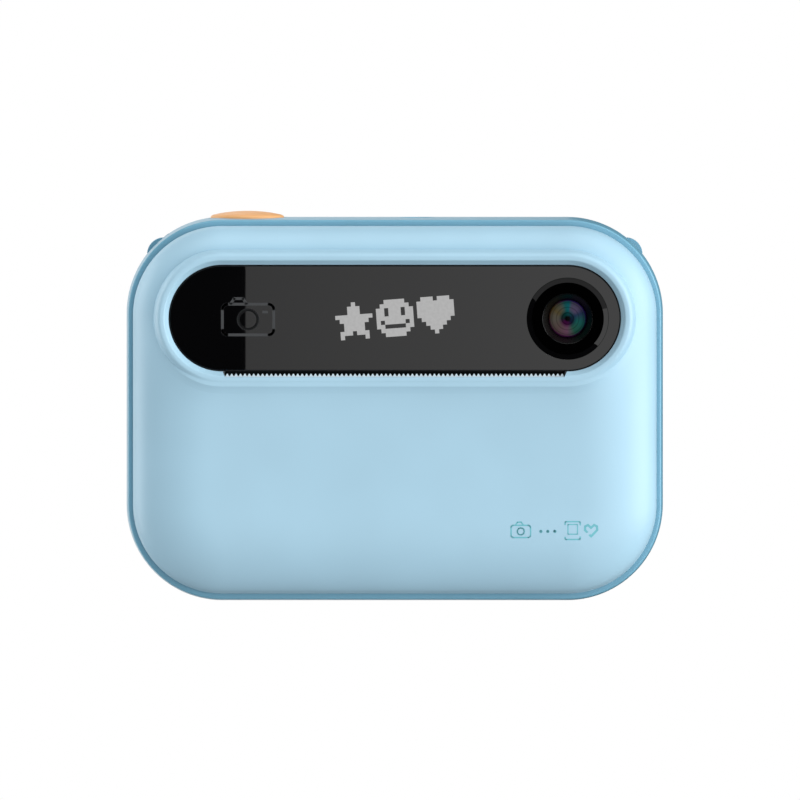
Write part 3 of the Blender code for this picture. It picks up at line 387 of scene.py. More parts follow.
def add_loft(bm, loops, closed=False):
    """Joins loops of equal length, where one point alone is a pole: closed like a tyre, or capped."""
    rings = [[bm.verts.new(point) for point in loop] for loop in loops]
    pairs = list(zip(rings, rings[1:]))
    if closed:
        pairs.append((rings[-1], rings[0]))
    for ring, following in pairs:
        for i in range(max(len(ring), len(following))):
            j = i + 1
            corners = [ring[i % len(ring)], ring[j % len(ring)]]
            corners += [following[j % len(following)], following[i % len(following)]]
            bm.faces.new(list(dict.fromkeys(corners)))
    if not closed:
        for ring in (rings[0], rings[-1][::-1]):
            if len(ring) > 1:
                bm.faces.new(ring)


def loft(name, loops, closed=False):
    bm = bmesh.new()
    add_loft(bm, loops, closed)
    return finished(bm, name)


def turned(name, profile, base, direction, segments=96, closed=False):
    """A turned solid: profile is (radius, height) pairs, heights along direction from base."""
    base, direction = Vector(base), Vector(direction).normalized()
    turn = direction.to_track_quat("Z", "Y").to_matrix()
    loops = []
    for radius, height in profile:
        angles = [2 * math.pi * i / segments for i in range(segments if radius else 1)]
        ring = [Vector((radius * math.cos(angle), radius * math.sin(angle), height)) for angle in angles]
        loops.append([base + turn @ point for point in ring])
    return loft(name, loops, closed)


def combine(obj, operation, *others):
    """Applies Booleans one after another, and removes what was cut or joined with."""
    objects = bpy.context.scene.collection.objects
    objects.link(obj)
    for other in others:
        objects.link(other)
        modifier = obj.modifiers.new("boolean", "BOOLEAN")
        modifier.operation = operation
        modifier.object = other
        modifier.solver = "EXACT"
    bpy.context.view_layer.update()
    graph = bpy.context.evaluated_depsgraph_get()
    mesh = bpy.data.meshes.new_from_object(obj.evaluated_get(graph))
    obj.modifiers.clear()
    obj.data = mesh
    smooth(mesh)
    for other in others:
        bpy.data.objects.remove(other, do_unlink=True)
    objects.unlink(obj)


def cut(obj, *others):
    combine(obj, "DIFFERENCE", *others)


def join(obj, *others):
    combine(obj, "UNION", *others)


def arc(centre, radius, start, end, steps):
    points = []
    for i in range(steps + 1):
        angle = math.radians(start + (end - start) * i / steps)
        points.append((centre[0] + radius * math.cos(angle), centre[1] + radius * math.sin(angle)))
    return points


def mirrored(right_half):
    return right_half + [(-x, z) for x, z in reversed(right_half)]


def body_outline(half_width, half_height, corner, inset=0.0):
    half_width, half_height, corner = half_width - inset, half_height - inset, corner - inset
    x, rise = half_width - corner, half_height - corner
    top = arc((x, MIDDLE_Z + rise), corner, 90, 0, CORNER_STEPS)
    bottom = arc((x, MIDDLE_Z - rise), corner, 0, -90, CORNER_STEPS)
    side = [(half_width, MIDDLE_Z + rise - 2 * rise * i / SIDE_STEPS) for i in range(1, SIDE_STEPS)]
    return mirrored(top + side + bottom)


def racetrack(radius):
    centre = (CORNER_X, PANEL_Z)
    top = arc(centre, radius, 90, 0, CORNER_STEPS)
    bottom = arc(centre, radius, 0, -90, CORNER_STEPS + SIDE_STEPS)
    return mirrored(top + bottom[1:])


def rounded_box(low, high, corner, steps=8):
    left, right = low[0] + corner, high[0] - corner
    bottom, top = low[1] + corner, high[1] - corner
    points = []
    for i, centre in enumerate(((right, top), (left, top), (left, bottom), (right, bottom))):
        points += arc(centre, corner, 90 * i, 90 * i + 90, steps)
    return points


def grown_box(low, high, corner):
    """A function that gives a rounded rectangle grown by an offset."""

    def outline(offset):
        grown_low = (low[0] - offset, low[1] - offset)
        grown_high = (high[0] + offset, high[1] + offset)
        return rounded_box(grown_low, grown_high, max(corner + offset, 0.02))

    return outline


def grown_circle(centre, radius, steps=64):
    def outline(offset):
        return arc(centre, radius + offset, 0, 360 - 360 / steps, steps - 1)

    return outline


def in_space(outline, level, facing):
    """2D points in space: facing Y they are (x, z), facing X (y, z), facing Z (x, y)."""
    if facing == "Y":
        return [Vector((u, level, v)) for u, v in outline]
    if facing == "X":
        return [Vector((level, u, v)) for u, v in outline]
    return [Vector((u, v, level)) for u, v in outline]


def prism(name, outline, levels, facing="Y"):
    """A solid through outline(offset) at each (level, offset), so its edges can be chamfered or rounded."""
    return loft(name, [in_space(outline(offset), level, facing) for level, offset in levels])


def quarter_turn():
    return [math.radians(90 * i / 4) for i in range(5)]


def chamfer(surface, width):
    """Levels and offsets of a cutter whose mouth leaves a chamfer as wide as width at this level."""
    levels = [(surface - width * math.cos(a), width * (1 - math.cos(a))) for a in quarter_turn()]
    return [*levels, (surface + 2.0, width + 0.02)]


def rounded_prism(name, outline, low, high, radius):
    """A plate with both of its faces' edges rounded."""
    eased = [(radius * (1 - math.sin(a)), -radius * (1 - math.cos(a))) for a in quarter_turn()]
    lower = [(low + rise, offset) for rise, offset in reversed(eased)]
    return prism(name, outline, lower + [(high - drop, offset) for drop, offset in eased])


def at_depth(outline, depth):
    return [Vector((x, depth(x, z) if callable(depth) else depth, z)) for x, z in outline]


def between(first, second, share):
    return [(a[0] + (b[0] - a[0]) * share, a[1] + (b[1] - a[1]) * share) for a, b in zip(first, second)]


# ------------------------------------------------------------------ surfaces of the covers


def crown(inset, reach, power):
    share = min(max(inset / reach, 0.0), 1.0)
    return (1 - (1 - share) ** power) ** (1 / power)


def inset_from_cover_edge(x, z):
    across = abs(x) - (COVER_HALF_WIDTH - COVER_CORNER)
    up = abs(z - MIDDLE_Z) - (COVER_HALF_HEIGHT - COVER_CORNER)
    outside = math.hypot(max(across, 0.0), max(up, 0.0))
    return COVER_CORNER - outside - min(max(across, up), 0.0)


def smooth_max(a, b, width):
    near = max(width - abs(a - b), 0.0) / width
    return max(a, b) + near * near * width / 4


def cover_outside(x, z):
    inset = inset_from_cover_edge(x, z)
    pillow = -COVER_EDGE + (COVER_EDGE - COVER_CROWN) * crown(inset, PILLOW_REACH, PILLOW_POWER)
    radius = math.hypot(max(abs(x) - CORNER_X, 0.0), z - PANEL_Z)
    upward = (z - PANEL_Z) / radius
    sweep = FOOT_DIP if upward > 0 else FOOT_FLARE
    pillow -= upward * sweep * math.exp(-max(radius - RIM_TOP_END - RIM_SHOULDER, 0.0) / FOOT_REACH)
    past = max(radius - RIM_TOP_END, 0.0) / RIM_SHOULDER
    rim = -RIM_FRONT - RIM_FALL * (1 - math.sqrt(max(1 - past * past, 0.0))) - 12.0 * max(past - 1.0, 0.0)
    return max(-smooth_max(pillow, rim, RIM_FILLET), RIM_FRONT)


def cover_inside(x, z):
    inset = inset_from_cover_edge(x, z) - COVER_WALL
    rise = COVER_EDGE - COVER_CROWN - COVER_WALL
    return COVER_EDGE - rise * crown(inset, PILLOW_REACH - COVER_WALL, PILLOW_POWER)


# ------------------------------------------------------------------ housing


def make_front_cover():
    def cover_edge(inset):
        return body_outline(COVER_HALF_WIDTH, COVER_HALF_HEIGHT, COVER_CORNER, inset)

    seat_and_lip = [
        (SHELF_RADIUS, SHELF_FRONT), (SEAT_RADIUS - 0.05, SHELF_FRONT), (SEAT_RADIUS, SHELF_FRONT - 0.05),
        (SEAT_RADIUS, -19.85), (9.58, -19.95), (9.65, -20.03), (10.22, -20.76), (10.28, -20.86),
        (10.36, -20.94), (10.47, -20.985), (10.60, RIM_FRONT),
    ]
    loops = [at_depth(racetrack(radius), depth) for radius, depth in seat_and_lip]
    radius = 10.9
    while radius < 13.55:
        loops.append(at_depth(racetrack(radius), cover_outside))
        radius += 0.05 if 11.7 < radius < 12.6 else 0.12
    start, edge = racetrack(13.6), cover_edge(0.0)
    steps = 30
    for i in range(steps):
        share = 1 - (1 - i / steps) ** 1.35
        loops.append(at_depth(between(start, edge, share), cover_outside))
    wall = [(0.004, -12.35), (0.0, COVER_EDGE), (0.0, COVER_REAR - 0.25), (0.07, COVER_REAR - 0.08)]
    wall += [(0.24, COVER_REAR), (COVER_WALL, COVER_REAR)]
    loops += [at_depth(cover_edge(inset), depth) for inset, depth in wall]
    inner_start, inner_edge = racetrack(11.6), cover_edge(COVER_WALL)
    for share in (1.0, 0.92, 0.8, 0.6, 0.3, 0.0):
        loops.append(at_depth(between(inner_start, inner_edge, share), cover_inside))
    loops += [at_depth(racetrack(10.9), SHELF_BACK), at_depth(racetrack(SHELF_RADIUS), SHELF_BACK)]
    cover = loft("front_shell", loops, closed=True)
    step = SLOT_HALF_WIDTH - TEAR_BAR_HALF_WIDTH
    upper, lower = (SLOT_HALF_WIDTH + 0.35, SLOT_HIGH + step + 0.35), (SLOT_HALF_WIDTH - step, SLOT_LOW)
    slot = prism("slot_cutter", lambda _: mirrored([upper, lower]), [(-24.0, 0.0), (-14.0, 0.0)])
    rebate_outline = grown_box((-30.8, 39.3), (30.8, SLOT_LOW + 0.4), 0.05)
    rebate = prism("rebate_cutter", rebate_outline, [(-20.2, 0.0), (-14.0, 0.0)])
    cut(cover, slot, rebate)
    stand_in(cover, COVER, "front_cover")


def make_tear_bar():
    """Saw teeth with their tips eased, standing at the slot's lower edge."""
    pitch = 2 * TEAR_BAR_HALF_WIDTH / TEETH
    root = SLOT_LOW + 0.12
    tooth = [(0.0, 0.0), (0.08, 0.03), (pitch / 2 - 0.07, TOOTH_HEIGHT)]
    tooth += [(pitch / 2 + 0.07, TOOTH_HEIGHT), (pitch - 0.08, 0.03)]
    profile = [(TEAR_BAR_HALF_WIDTH, 39.6), (-TEAR_BAR_HALF_WIDTH, 39.6)]
    for i in range(TEETH):
        left = -TEAR_BAR_HALF_WIDTH + i * pitch
        profile += [(left + u, root + v) for u, v in tooth]
    profile.append((TEAR_BAR_HALF_WIDTH, root))
    bar = prism("tear_teeth", lambda _: profile, [(-19.9, 0.0), (-18.9, 0.0)])
    stand_in(bar, TEAR_BAR, "tear_bar")
    # Painted shade: a dark teal sheet that stands for the shadowed inside of the slot.
    slot_shade_sheet = prism("painted_slot_shade", grown_box((-30.3, 40.6), (30.3, 43.4), 0.2), [(-17.9, 0.0), (-17.7, 0.0)])
    place(slot_shade_sheet, SLOT_SHADE)


def frame_loops():
    front = [
        (2.4, -10.70), (0.66, -10.70), (0.58, -10.69), (0.52, -10.66), (0.42, -10.56), (0.37, -10.48),
        (0.33, -10.38), (0.31, -10.2), (0.29, -9.9), (0.27, -9.5),
    ]
    sides = [(0.23, -8.8), (0.16, -7.8), (0.09, -6.6), (0.03, -5.0), (0.0, -3.0), (0.0, 3.0)]
    back = [(0.03, 5.0), (0.09, 6.6), (0.16, 7.8), (0.24, 8.5), (0.38, 8.82), (0.55, 8.97)]
    back += [(0.7, 9.0), (2.4, 9.0)]
    profile = front + sides + back
    return [at_depth(body_outline(WIDTH / 2, HEIGHT / 2, CORNER, inset), y) for inset, y in profile]


def corner_frame(side):
    """The upper corner's centre, and the directions out of it and along it."""
    corner = Vector((side * CORNER_X, 0.0, CORNER_Z))
    return corner, Vector((side, 0.0, 1.0)).normalized(), Vector((1.0, 0.0, -side)).normalized()


def make_middle_frame():
    body = loft("frame_band", frame_loops(), closed=True)
    top_levels = [(60.0, 0.0), *chamfer(HEIGHT, 0.25)]
    microphone_levels = [(60.0, 0.0), *chamfer(HEIGHT, 0.15)]
    port_levels = [(46.6, 0.0), *chamfer(48.2, 0.18)]
    cutters = [
        prism("shutter_hole", grown_circle(SHUTTER.xy, 6.95, 96), top_levels, "Z"),
        prism("power_hole", grown_circle(POWER.xy, 3.3), top_levels, "Z"),
        prism("microphone", grown_circle((14.0, -1.0), 0.45, 24), microphone_levels, "Z"),
        prism("port_recess", grown_box((0.2, 21.5), (7.6, 48.0), 1.5), port_levels, "X"),
        prism("usb_hole", grown_box((2.2, 36.7), (6.1, 46.3), 1.6), [(44.0, 0.0), (50.0, 0.0)], "X"),
        prism("card_hole", grown_box((3.7, 23.1), (5.5, 34.9), 0.2), [(44.0, 0.0), (50.0, 0.0)], "X"),
    ]
    cut(body, *cutters, strap_pocket(-1), strap_pocket(1))
    stand_in(body, FRAME, "middle_frame")


def strap_pocket(side):
    corner, out, along = corner_frame(side)
    half = 3.4
    outline = rounded_box((-half, -half), (half, half), 0.9)
    loops = []
    for level, grow in ((15.4, 0.0), (16.9, 0.0), (17.1, 0.06), (17.3, 0.25), (19.4, 0.25)):
        scale = 1 + grow / half
        centre = corner + out * level
        loops.append([centre + along * (u * scale) + Vector((0.0, v * scale, 0.0)) for u, v in outline])
    return loft("strap_pocket", loops)


def make_strap_loop(name, side, node):
    """A moulded staple across its pocket: a crowned bar with a flat inside, on two legs."""
    corner, out, along = corner_frame(side)
    outer = arc((0.0, 14.90), 3.02, 49, 131, 24)
    outline = outer + [(-1.95, 15.8), (-1.3, 15.8), (-1.3, 17.22), (1.3, 17.22), (1.3, 15.8), (1.95, 15.8)]
    loops = []
    for depth, ease in ((-1.2, 0.1), (-1.12, 0.03), (-1.0, 0.0), (1.0, 0.0), (1.12, 0.03), (1.2, 0.1)):
        loops.append([
            corner + out * (v - ease * 0.5) + along * (u * (1 - ease * 0.1)) + Vector((0, depth, 0))
            for u, v in outline
        ])
    loop = loft(name, loops)
    stand_in(loop, FRAME, node)


def back_profile():
    inner = [(BACK_WALL + 0.05, BACK_FRONT), (BACK_WALL, BACK_FRONT + 0.05), (BACK_WALL, BACK_EDGE)]
    for i in range(1, 9):
        inset = 4.0 * (i / 8) ** 1.4
        rise = (BACK_FLAT - BACK_EDGE - BACK_WALL) * crown(inset, 4.0, BACK_POWER)
        inner.append((BACK_WALL + inset, BACK_EDGE + rise))
    outer = [(0.3, BACK_FRONT), (0.1, BACK_FRONT + 0.08), (0.0, BACK_FRONT + 0.3), (0.0, BACK_EDGE)]
    steps = 22
    for i in range(1, steps + 1):
        inset = 6.0 * (i / steps) ** 1.8
        rise = (BACK_FLAT - BACK_EDGE) * crown(inset, 6.0, BACK_POWER)
        outer.append((inset, BACK_EDGE + rise))
    return list(reversed(inner)) + outer


def back_shell(name):
    loops = []
    for inset, y in back_profile():
        loops.append(at_depth(body_outline(BACK_HALF_WIDTH, BACK_HALF_HEIGHT, BACK_CORNER, inset), y))
    return loft(name, loops)


def make_back_cover():
    shell = back_shell("back_shell")
    lip = chamfer(BACK_FLAT, 0.22)
    cutters = [
        prism("door_opening", grown_box((-30.7, 2.6), (30.7, 33.2), 0.7), [(8.0, 0.0), *lip]),
        prism("window_recess", grown_box((-13.3, 36.1), (35.3, 62.3), 3.3), [(18.9, 0.0), *lip]),
        prism("window_opening", grown_box((-10.5, 37.9), (32.5, 60.5), 1.0), [(16.0, 0.0), (24.0, 0.0)]),
        prism("pad_hole", grown_circle(PAD.xz, 9.8, 96), [(16.0, 0.0), *lip]),
        prism("menu_hole", grown_circle(MENU.xz, 2.8), [(16.0, 0.0), *lip]),
        prism("print_hole", grown_circle(PRINT.xz, 2.8), [(16.0, 0.0), *lip]),
        prism("lamp_hole", grown_circle((-29.5, 38.6), 0.7, 32), [(19.6, 0.0), *chamfer(BACK_FLAT, 0.12)]),
    ]
    for i in range(4):
        x = 34.4 + i * 2.4
        slot = grown_box((x - 0.6, 16.0), (x + 0.6, 25.0), 0.55)
        cutters.append(prism(f"speaker_slot_{i}", slot, [(16.0, 0.0), *chamfer(BACK_FLAT, 0.15)]))
    for name, (x, z) in SCREWS.items():
        seat_levels = [(18.7, 0.0), *chamfer(BACK_FLAT, 0.18)]
        cutters.append(prism(name + "_seat", grown_circle((x, z), 2.2, 48), seat_levels))
        cutters.append(prism(name + "_way", grown_circle((x, z), 1.05, 24), [(16.0, 0.0), (19.0, 0.0)]))
    cut(shell, *cutters)
    for side in (-1, 1):
        boss_profile = [(0.0, 0.0), (1.0, 0.0), (1.05, 0.05), (1.05, 2.9), (0.0, 2.9)]
        inner_end = DOOR_AXIS + Vector((side * 30.7, 0, 0))
        join(shell, turned("hinge_boss", boss_profile, inner_end, (side, 0, 0), 32))
    stand_in(shell, COVER, "back_cover")
    backing = prism("speaker_cloth", grown_box((33.2, 15.0), (43.0, 26.0), 0.6), [(17.4, 0.0), (17.6, 0.0)])
    place(backing, DARK)
    lamp_profile = [(0.0, 20.12), (0.35, 20.08), (0.6, 19.95), (0.62, 19.62), (0.0, 19.62)]
    lamp = turned("status_lamp", lamp_profile, Vector((-29.5, 0.0, 38.6)), (0, 1, 0), 32)
    place(lamp, PRINTED_WHITE)


def make_paper_door():
    """The door is the back's own skin inside its outline, with its outer edges eased."""
    door = back_shell("door_shell")
    edge = [(8.0, 0.0), (BACK_FLAT - 0.22, 0.0), (BACK_FLAT - 0.14, -0.02), (BACK_FLAT - 0.07, -0.07)]
    edge += [(BACK_FLAT - 0.02, -0.14), (BACK_FLAT + 0.01, -0.24), (BACK_FLAT + 0.02, -0.3)]
    inside = prism("door_outline", grown_box((-30.4, DOOR_AXIS.z), (30.4, 32.9), 0.6), edge)
    combine(door, "INTERSECT", inside)
    barrel_profile = [(0.0, -30.4), (1.0, -30.4), (1.1, -30.3), (1.1, 30.3), (1.0, 30.4), (0.0, 30.4)]
    join(door, turned("door_barrel", barrel_profile, DOOR_AXIS, (1, 0, 0), 32))
    ribs = []
    for i in range(3):
        z = 28.2 + i * 1.3
        rib = grown_box((-6.0, z - 0.35), (6.0, z + 0.35), 0.3)
        rib_levels = [(19.9, 0.0), (20.45, 0.0), (20.6, -0.06), (20.68, -0.16), (20.7, -0.28)]
        ribs.append(prism(f"grip_{i}", rib, rib_levels))
    join(door, *ribs)
    bore_profile = [(0.0, -34.0), (0.62, -34.0), (0.62, 34.0), (0.0, 34.0)]
    cut(door, turned("door_bore", bore_profile, DOOR_AXIS, (1, 0, 0), 24))
    stand_in(door, COVER, "paper_door", "paper_door")


def make_screws():
    """Pan-head screws with a cross recess."""
    profile = [
        (0.0, 1.35), (1.1, 1.33), (1.45, 1.24), (1.7, 1.06), (1.85, 0.8), (1.9, 0.5), (1.9, 0.0),
        (0.78, 0.0), (0.78, -17.4), (0.0, -18.0),
    ]
    for name, (x, z) in SCREWS.items():
        screw = turned(name.replace("screw_", "cross_screw_"), profile, (x, 18.8, z), (0, 1, 0), 48)
        for wide, tall in ((1.15, 0.24), (0.24, 1.15)):
            slot = grown_box((x - wide, z - tall), (x + wide, z + tall), 0.08)
            cut(screw, prism("cross", slot, [(19.35, -0.1), (20.0, 0.0), (21.0, 0.03)]))
        stand_in(screw, STEEL, name)


# ------------------------------------------------------------------ front panel, display and lens


def make_panel():
    def outline(offset):
        return racetrack(PANEL_RADIUS + offset)

    panel = rounded_prism("front_window", outline, PANEL_FRONT, -18.6, 0.1)
    hole = turned("lens_hole", [(0.0, 22.0), (7.36, 22.0), (7.36, 18.0), (0.0, 18.0)], LENS, (0, -1, 0), 160)
    cut(panel, hole)
    stand_in(panel, PANEL, "front_panel")


# The display's pictures, dot by dot.
STAR = """
    ....#....
    ...###...
    ...###...
    #########
    .#######.
    ..#####..
    ..#####..
    .###.###.
    .#.....#.
""".split()
SMILE = """
    ..#####..
    .#######.
    ##.###.##
    ##.###.##
    #########
    #.#####.#
    ##.....##
    .#######.
    ..#####..
""".split()
HEART = """
    .###.###.
    #########
    #########
    #########
    #########
    .#######.
    ..#####..
    ...###...
    ....#....
""".split()


def make_display_icons():
    """Three pictures in lit dots, set a little uphill from left to right."""
    dot, spacing, lean = 0.74, 7.35, math.radians(4.2)
    centre = Vector((0.05, -20.012, 51.05))
    right, up = Vector((math.cos(lean), 0, math.sin(lean))), Vector((-math.sin(lean), 0, math.cos(lean)))
    bm = bmesh.new()
    for index, rows in enumerate((STAR, SMILE, HEART)):
        lit = [(r, c) for r, row in enumerate(rows) for c, mark in enumerate(row) if mark == "#"]
        for r, c in lit:
            u = (index - 1) * spacing + (c - 4) * dot
            v = (4 - r) * dot
            add_dot(bm, centre + right * u + up * v, right * dot * 0.505, up * dot * 0.505)
    place(finished(bm, "display_icons"), LIT)


def make_gasket():
    """The black foam that seals the joint round the panel."""
    rings = ((SEAT_RADIUS - 0.02, -18.31), (SEAT_RADIUS - 0.02, -19.55), (9.3, -19.55), (9.3, -18.31))
    gasket = loft("panel_gasket", [at_depth(racetrack(radius), y) for radius, y in rings], closed=True)
    place(gasket, RUBBER)


def add_dot(bm, centre, right, up):
    """A thin square tile, closed on all sides."""
    depth = Vector((0, 0.009, 0))
    loops = []
    for level in (-1, 1):
        square = ((-1, -1), (1, -1), (1, 1), (-1, 1))
        loops.append([centre + depth * level + right * a + up * b for a, b in square])
    add_loft(bm, loops)


def line_corners(first, second, width, overlap):
    """The corners of a straight printed line, which runs past each of its points by a share of width."""
    a, b = Vector(first), Vector(second)
    along = (b - a).normalized() * width
    across = Vector((-along.y, along.x)) / 2
    start, end = a - along * overlap, b + along * overlap
    return start - across, end - across, end + across, start + across


def add_stroke(bm, points, width, depth_at, facing=1.0):
    """A printed line through points, standing a hair off a front or rear surface."""
    for first, second in zip(points, points[1:]):
        corners = line_corners(first, second, width, 0.3)
        loops = []
        for lift in (0.004, 0.012):
            loops.append([Vector((x, depth_at(x, z) - facing * lift, z)) for x, z in corners])
        add_loft(bm, loops)


def add_flat_mark(bm, points, width, level):
    """A printed line that lies on a top face."""
    for first, second in zip(points, points[1:]):
        corners = line_corners(first, second, width, 0.25)
        add_loft(bm, [[Vector((x, y, level + lift)) for x, y in corners] for lift in (0.004, 0.02)])


def make_prints():
    """Generic pictograms: a camera outline on the panel, and a row of small ones on the cover."""
    bm = bmesh.new()

    def flat(_x, _z):
        return PANEL_FRONT

    x, z = -26.3, 51.1
    body = rounded_box((x - 4.6, z - 3.1), (x + 4.6, z + 2.4), 0.9, 6)
    add_stroke(bm, body + body[:1], 0.5, flat)
    add_stroke(bm, arc((x, z - 0.35), 1.75, 0, 360, 28), 0.5, flat)
    hump = [(x - 3.1, z + 2.5), (x - 2.5, z + 3.4), (x - 0.9, z + 3.4), (x - 0.3, z + 2.5)]
    add_stroke(bm, hump, 0.5, flat)
    add_stroke(bm, [(x + 2.7, z + 1.0), (x + 3.4, z + 1.0)], 0.5, flat)
    place(finished(bm, "panel_pictogram"), PANEL_MARK)

    bm = bmesh.new()
    x, z, stroke = 22.6, 12.9, 0.26
    body = rounded_box((x - 1.75, z - 1.25), (x + 1.75, z + 0.95), 0.45, 5)
    add_stroke(bm, body + body[:1], stroke, cover_outside)
    add_stroke(bm, arc((x, z - 0.15), 0.62, 0, 360, 28), stroke, cover_outside)
    hump = [(x - 0.9, z + 1.05), (x - 0.6, z + 1.5), (x + 0.1, z + 1.5), (x + 0.4, z + 1.05)]
    add_stroke(bm, hump, stroke, cover_outside)
    for i in range(3):
        add_stroke(bm, arc((x + 3.6 + i * 1.25, z - 0.15), 0.14, 0, 360, 10), 0.3, cover_outside)
    x = 31.9
    sheet = rounded_box((x - 1.35, z - 1.6), (x + 1.35, z + 1.6), 0.25, 4)
    add_stroke(bm, sheet + sheet[:1], stroke, cover_outside)
    picture = rounded_box((x - 0.85, z - 0.65), (x + 0.85, z + 1.1), 0.1, 3)
    add_stroke(bm, picture + picture[:1], stroke * 0.8, cover_outside)
    x = 35.2
    heart = [(x, z - 1.05), (x - 1.1, z + 0.1), (x - 1.05, z + 0.75), (x - 0.55, z + 1.0), (x, z + 0.5)]
    heart += [(x + 0.55, z + 1.0), (x + 1.05, z + 0.75), (x + 1.1, z + 0.1), (x, z - 1.05)]
    add_stroke(bm, heart, 0.4, cover_outside)
    place(finished(bm, "cover_pictograms"), PRINTED_TEAL)


def make_lens():
    def lens_part(name, profile, closed=True):
        return turned(name, profile, LENS, (0, -1, 0), 128, closed)

    surround = [
        (4.60, 20.10), (4.64, 20.22), (4.72, 20.28), (6.30, 20.28), (6.40, 20.27), (6.42, 20.24),
        (6.42, 17.0), (4.58, 17.0), (4.58, 19.9),
    ]
    stand_in(lens_part("lens_surround", surround), LENS_BLACK, "lens_ring")
    bezel = [(6.43, 20.20), (6.48, 20.255), (6.70, 20.19), (7.0, 20.10), (7.30, 20.01), (7.30, 18.8)]
    place(lens_part("lens_bezel", [*bezel, (6.43, 18.8)]), PANEL)
    funnel = [
        (4.57, 20.02), (4.52, 20.05), (4.44, 19.98), (4.22, 19.62), (3.94, 19.18), (3.68, 18.76),
        (3.50, 18.42), (3.42, 18.1), (3.4, 16.0), (2.6, 15.6), (2.6, 11.0), (5.3, 11.0), (5.3, 14.0),
        (4.0, 14.0), (4.0, 18.5), (4.5, 19.4),
    ]
    stand_in(lens_part("lens_funnel", funnel), BARREL, "lens_barrel")
    dome = [(3.38 * math.sin(i * math.pi / 40), 18.05 + 0.78 * math.cos(i * math.pi / 40)) for i in range(21)]
    # The front element shows painted reflections in its base colour.
    glass = lens_part("front_element_painted_reflections", [*dome, (3.38, 16.6), (0.0, 16.2)], closed=False)
    stand_in(glass, PAINTED_LENS_REFLECTIONS, "lens_front_element")


# ------------------------------------------------------------------ buttons and keys


def make_top_buttons():
    rise, crown_radius = 1.15, 6.1
    dome = [(0.0, rise)]
    for i in range(1, 17):
        radius = crown_radius * (i / 16) ** 0.8
        dome.append((radius, rise - 0.68 * (radius / crown_radius) ** 2.1))
    dome += [(6.3, 0.38), (6.46, 0.28), (6.57, 0.15), (6.63, 0.0), (6.65, -0.2)]
    dome += [(6.65, -3.1), (7.4, -3.1), (7.4, -4.2), (0.0, -4.2)]
    shutter = turned("shutter_cap", dome, SHUTTER, (0, 0, 1), 128)
    stand_in(shutter, ORANGE, "shutter_button", "shutter_button")
    dish = [(0.0, -0.36), (1.2, -0.33), (2.1, -0.22), (2.6, -0.12), (2.8, -0.12), (2.94, -0.2), (3.0, -0.34)]
    dish += [(3.0, -3.1), (4.2, -3.1), (4.2, -4.2), (0.0, -4.2)]
    power = turned("power_cap", dish, POWER, (0, 0, 1), 96)
    stand_in(power, KEY, "power_key", "power_key")
    bm = bmesh.new()
    for line in (arc(POWER.xy, 1.0, 130, 410, 24), [POWER.xy + Vector((0, y)) for y in (0.25, 1.25)]):
        add_flat_mark(bm, line, 0.24, HEIGHT - 0.335)
    place(finished(bm, "power_mark"), PRINTED_WHITE, "power_key")


def make_keys():
    ring = [
        (5.0, 20.35), (5.06, 20.5), (5.2, 20.6), (5.45, 20.66), (6.4, 20.78), (7.6, 20.9), (8.5, 20.98),
        (8.9, 21.0), (9.15, 20.94), (9.34, 20.8), (9.45, 20.6), (9.5, 20.3), (9.5, 17.6), (10.2, 17.6),
        (10.2, 15.0), (5.0, 15.0),
    ]
    for name, middle in (("up_key", 90), ("left_key", 180), ("down_key", 270), ("right_key", 0)):
        key = turned(name + "_cap", ring, PAD, (0, 1, 0), 160, closed=True)
        angle = math.radians(middle)
        out, across = Vector((math.cos(angle), math.sin(angle))), Vector((-math.sin(angle), math.cos(angle)))
        start = PAD.xz + out * (0.25 * math.sqrt(2))

        def wedge(offset, start=start, out=out, across=across):
            base = start - out * offset * math.sqrt(2)
            return [base, base + (out - across) * 14, base + (out + across) * 14]

        levels = [(12.0, 0.0), (20.4, 0.0), (20.62, -0.03), (20.82, -0.12), (21.05, -0.3)]
        combine(key, "INTERSECT", prism("wedge", wedge, levels))
        stand_in(key, KEY, name, name)
        bm = bmesh.new()
        tip = PAD.xz + out * 8.0
        arrow = [tip - out * 0.9 + across * 0.95, tip, tip - out * 0.9 - across * 0.95]
        add_stroke(bm, arrow, 0.32, lambda x, z: key_surface(math.hypot(x - PAD.x, z - PAD.z)), -1.0)
        place(finished(bm, name + "_arrow"), PRINTED_WHITE, name)
    round_key("ok_key", PAD, 4.6, KEY)
    round_key("menu_key", MENU, 2.5, KEY)
    round_key("print_key", PRINT, 2.5, ORANGE)
    make_key_marks()


def key_surface(radius):
    return 20.66 + (radius - 5.45) * 0.1 + 0.015


def round_key(name, centre, radius, material):
    height = 20.95
    profile = [(0.0, height)]
    for i in range(1, 13):
        share = i / 12
        profile.append((radius * share * 0.985, height - 0.62 * share ** 3.2))
    profile += [(radius, height - 0.85), (radius, 17.6)]
    profile += [(radius, 15.0)] if name == "ok_key" else [(3.2, 17.6), (3.2, 15.0)]
    profile.append((0.0, 15.0))
    key = turned(name + "_cap", profile, centre, (0, 1, 0), 96)
    stand_in(key, material, name, name)


def make_key_marks():
    marks = {
        "ok_key": [arc(PAD.xz, 1.1, 0, 360, 24)],
        "menu_key": [
            [(MENU.x - 0.85, MENU.z + level), (MENU.x + 0.85, MENU.z + level)] for level in (-0.62, 0, 0.62)
        ],
        "print_key": [
            [(PRINT.x + u, PRINT.z + v) for u, v in ((-0.9, -0.35), (-0.9, 0.45), (0.9, 0.45), (0.9, -0.35))],
            [(PRINT.x + u, PRINT.z + v) for u, v in ((-0.5, 0.0), (-0.5, -0.9), (0.5, -0.9), (0.5, 0.0))],
        ],
    }
    for name, lines in marks.items():
        bm = bmesh.new()
        for line in lines:
            add_stroke(bm, line, 0.24, lambda x, z: 20.945, -1.0)
        place(finished(bm, name + "_mark"), PRINTED_WHITE, name)


# ------------------------------------------------------------------ back window, ports


def make_window():
    window = rounded_prism("rear_window", grown_box((-13.0, 36.4), (35.0, 62.0), 3.0), 19.2, BACK_FLAT, 0.15)
    stand_in(window, PANEL, "display_window")


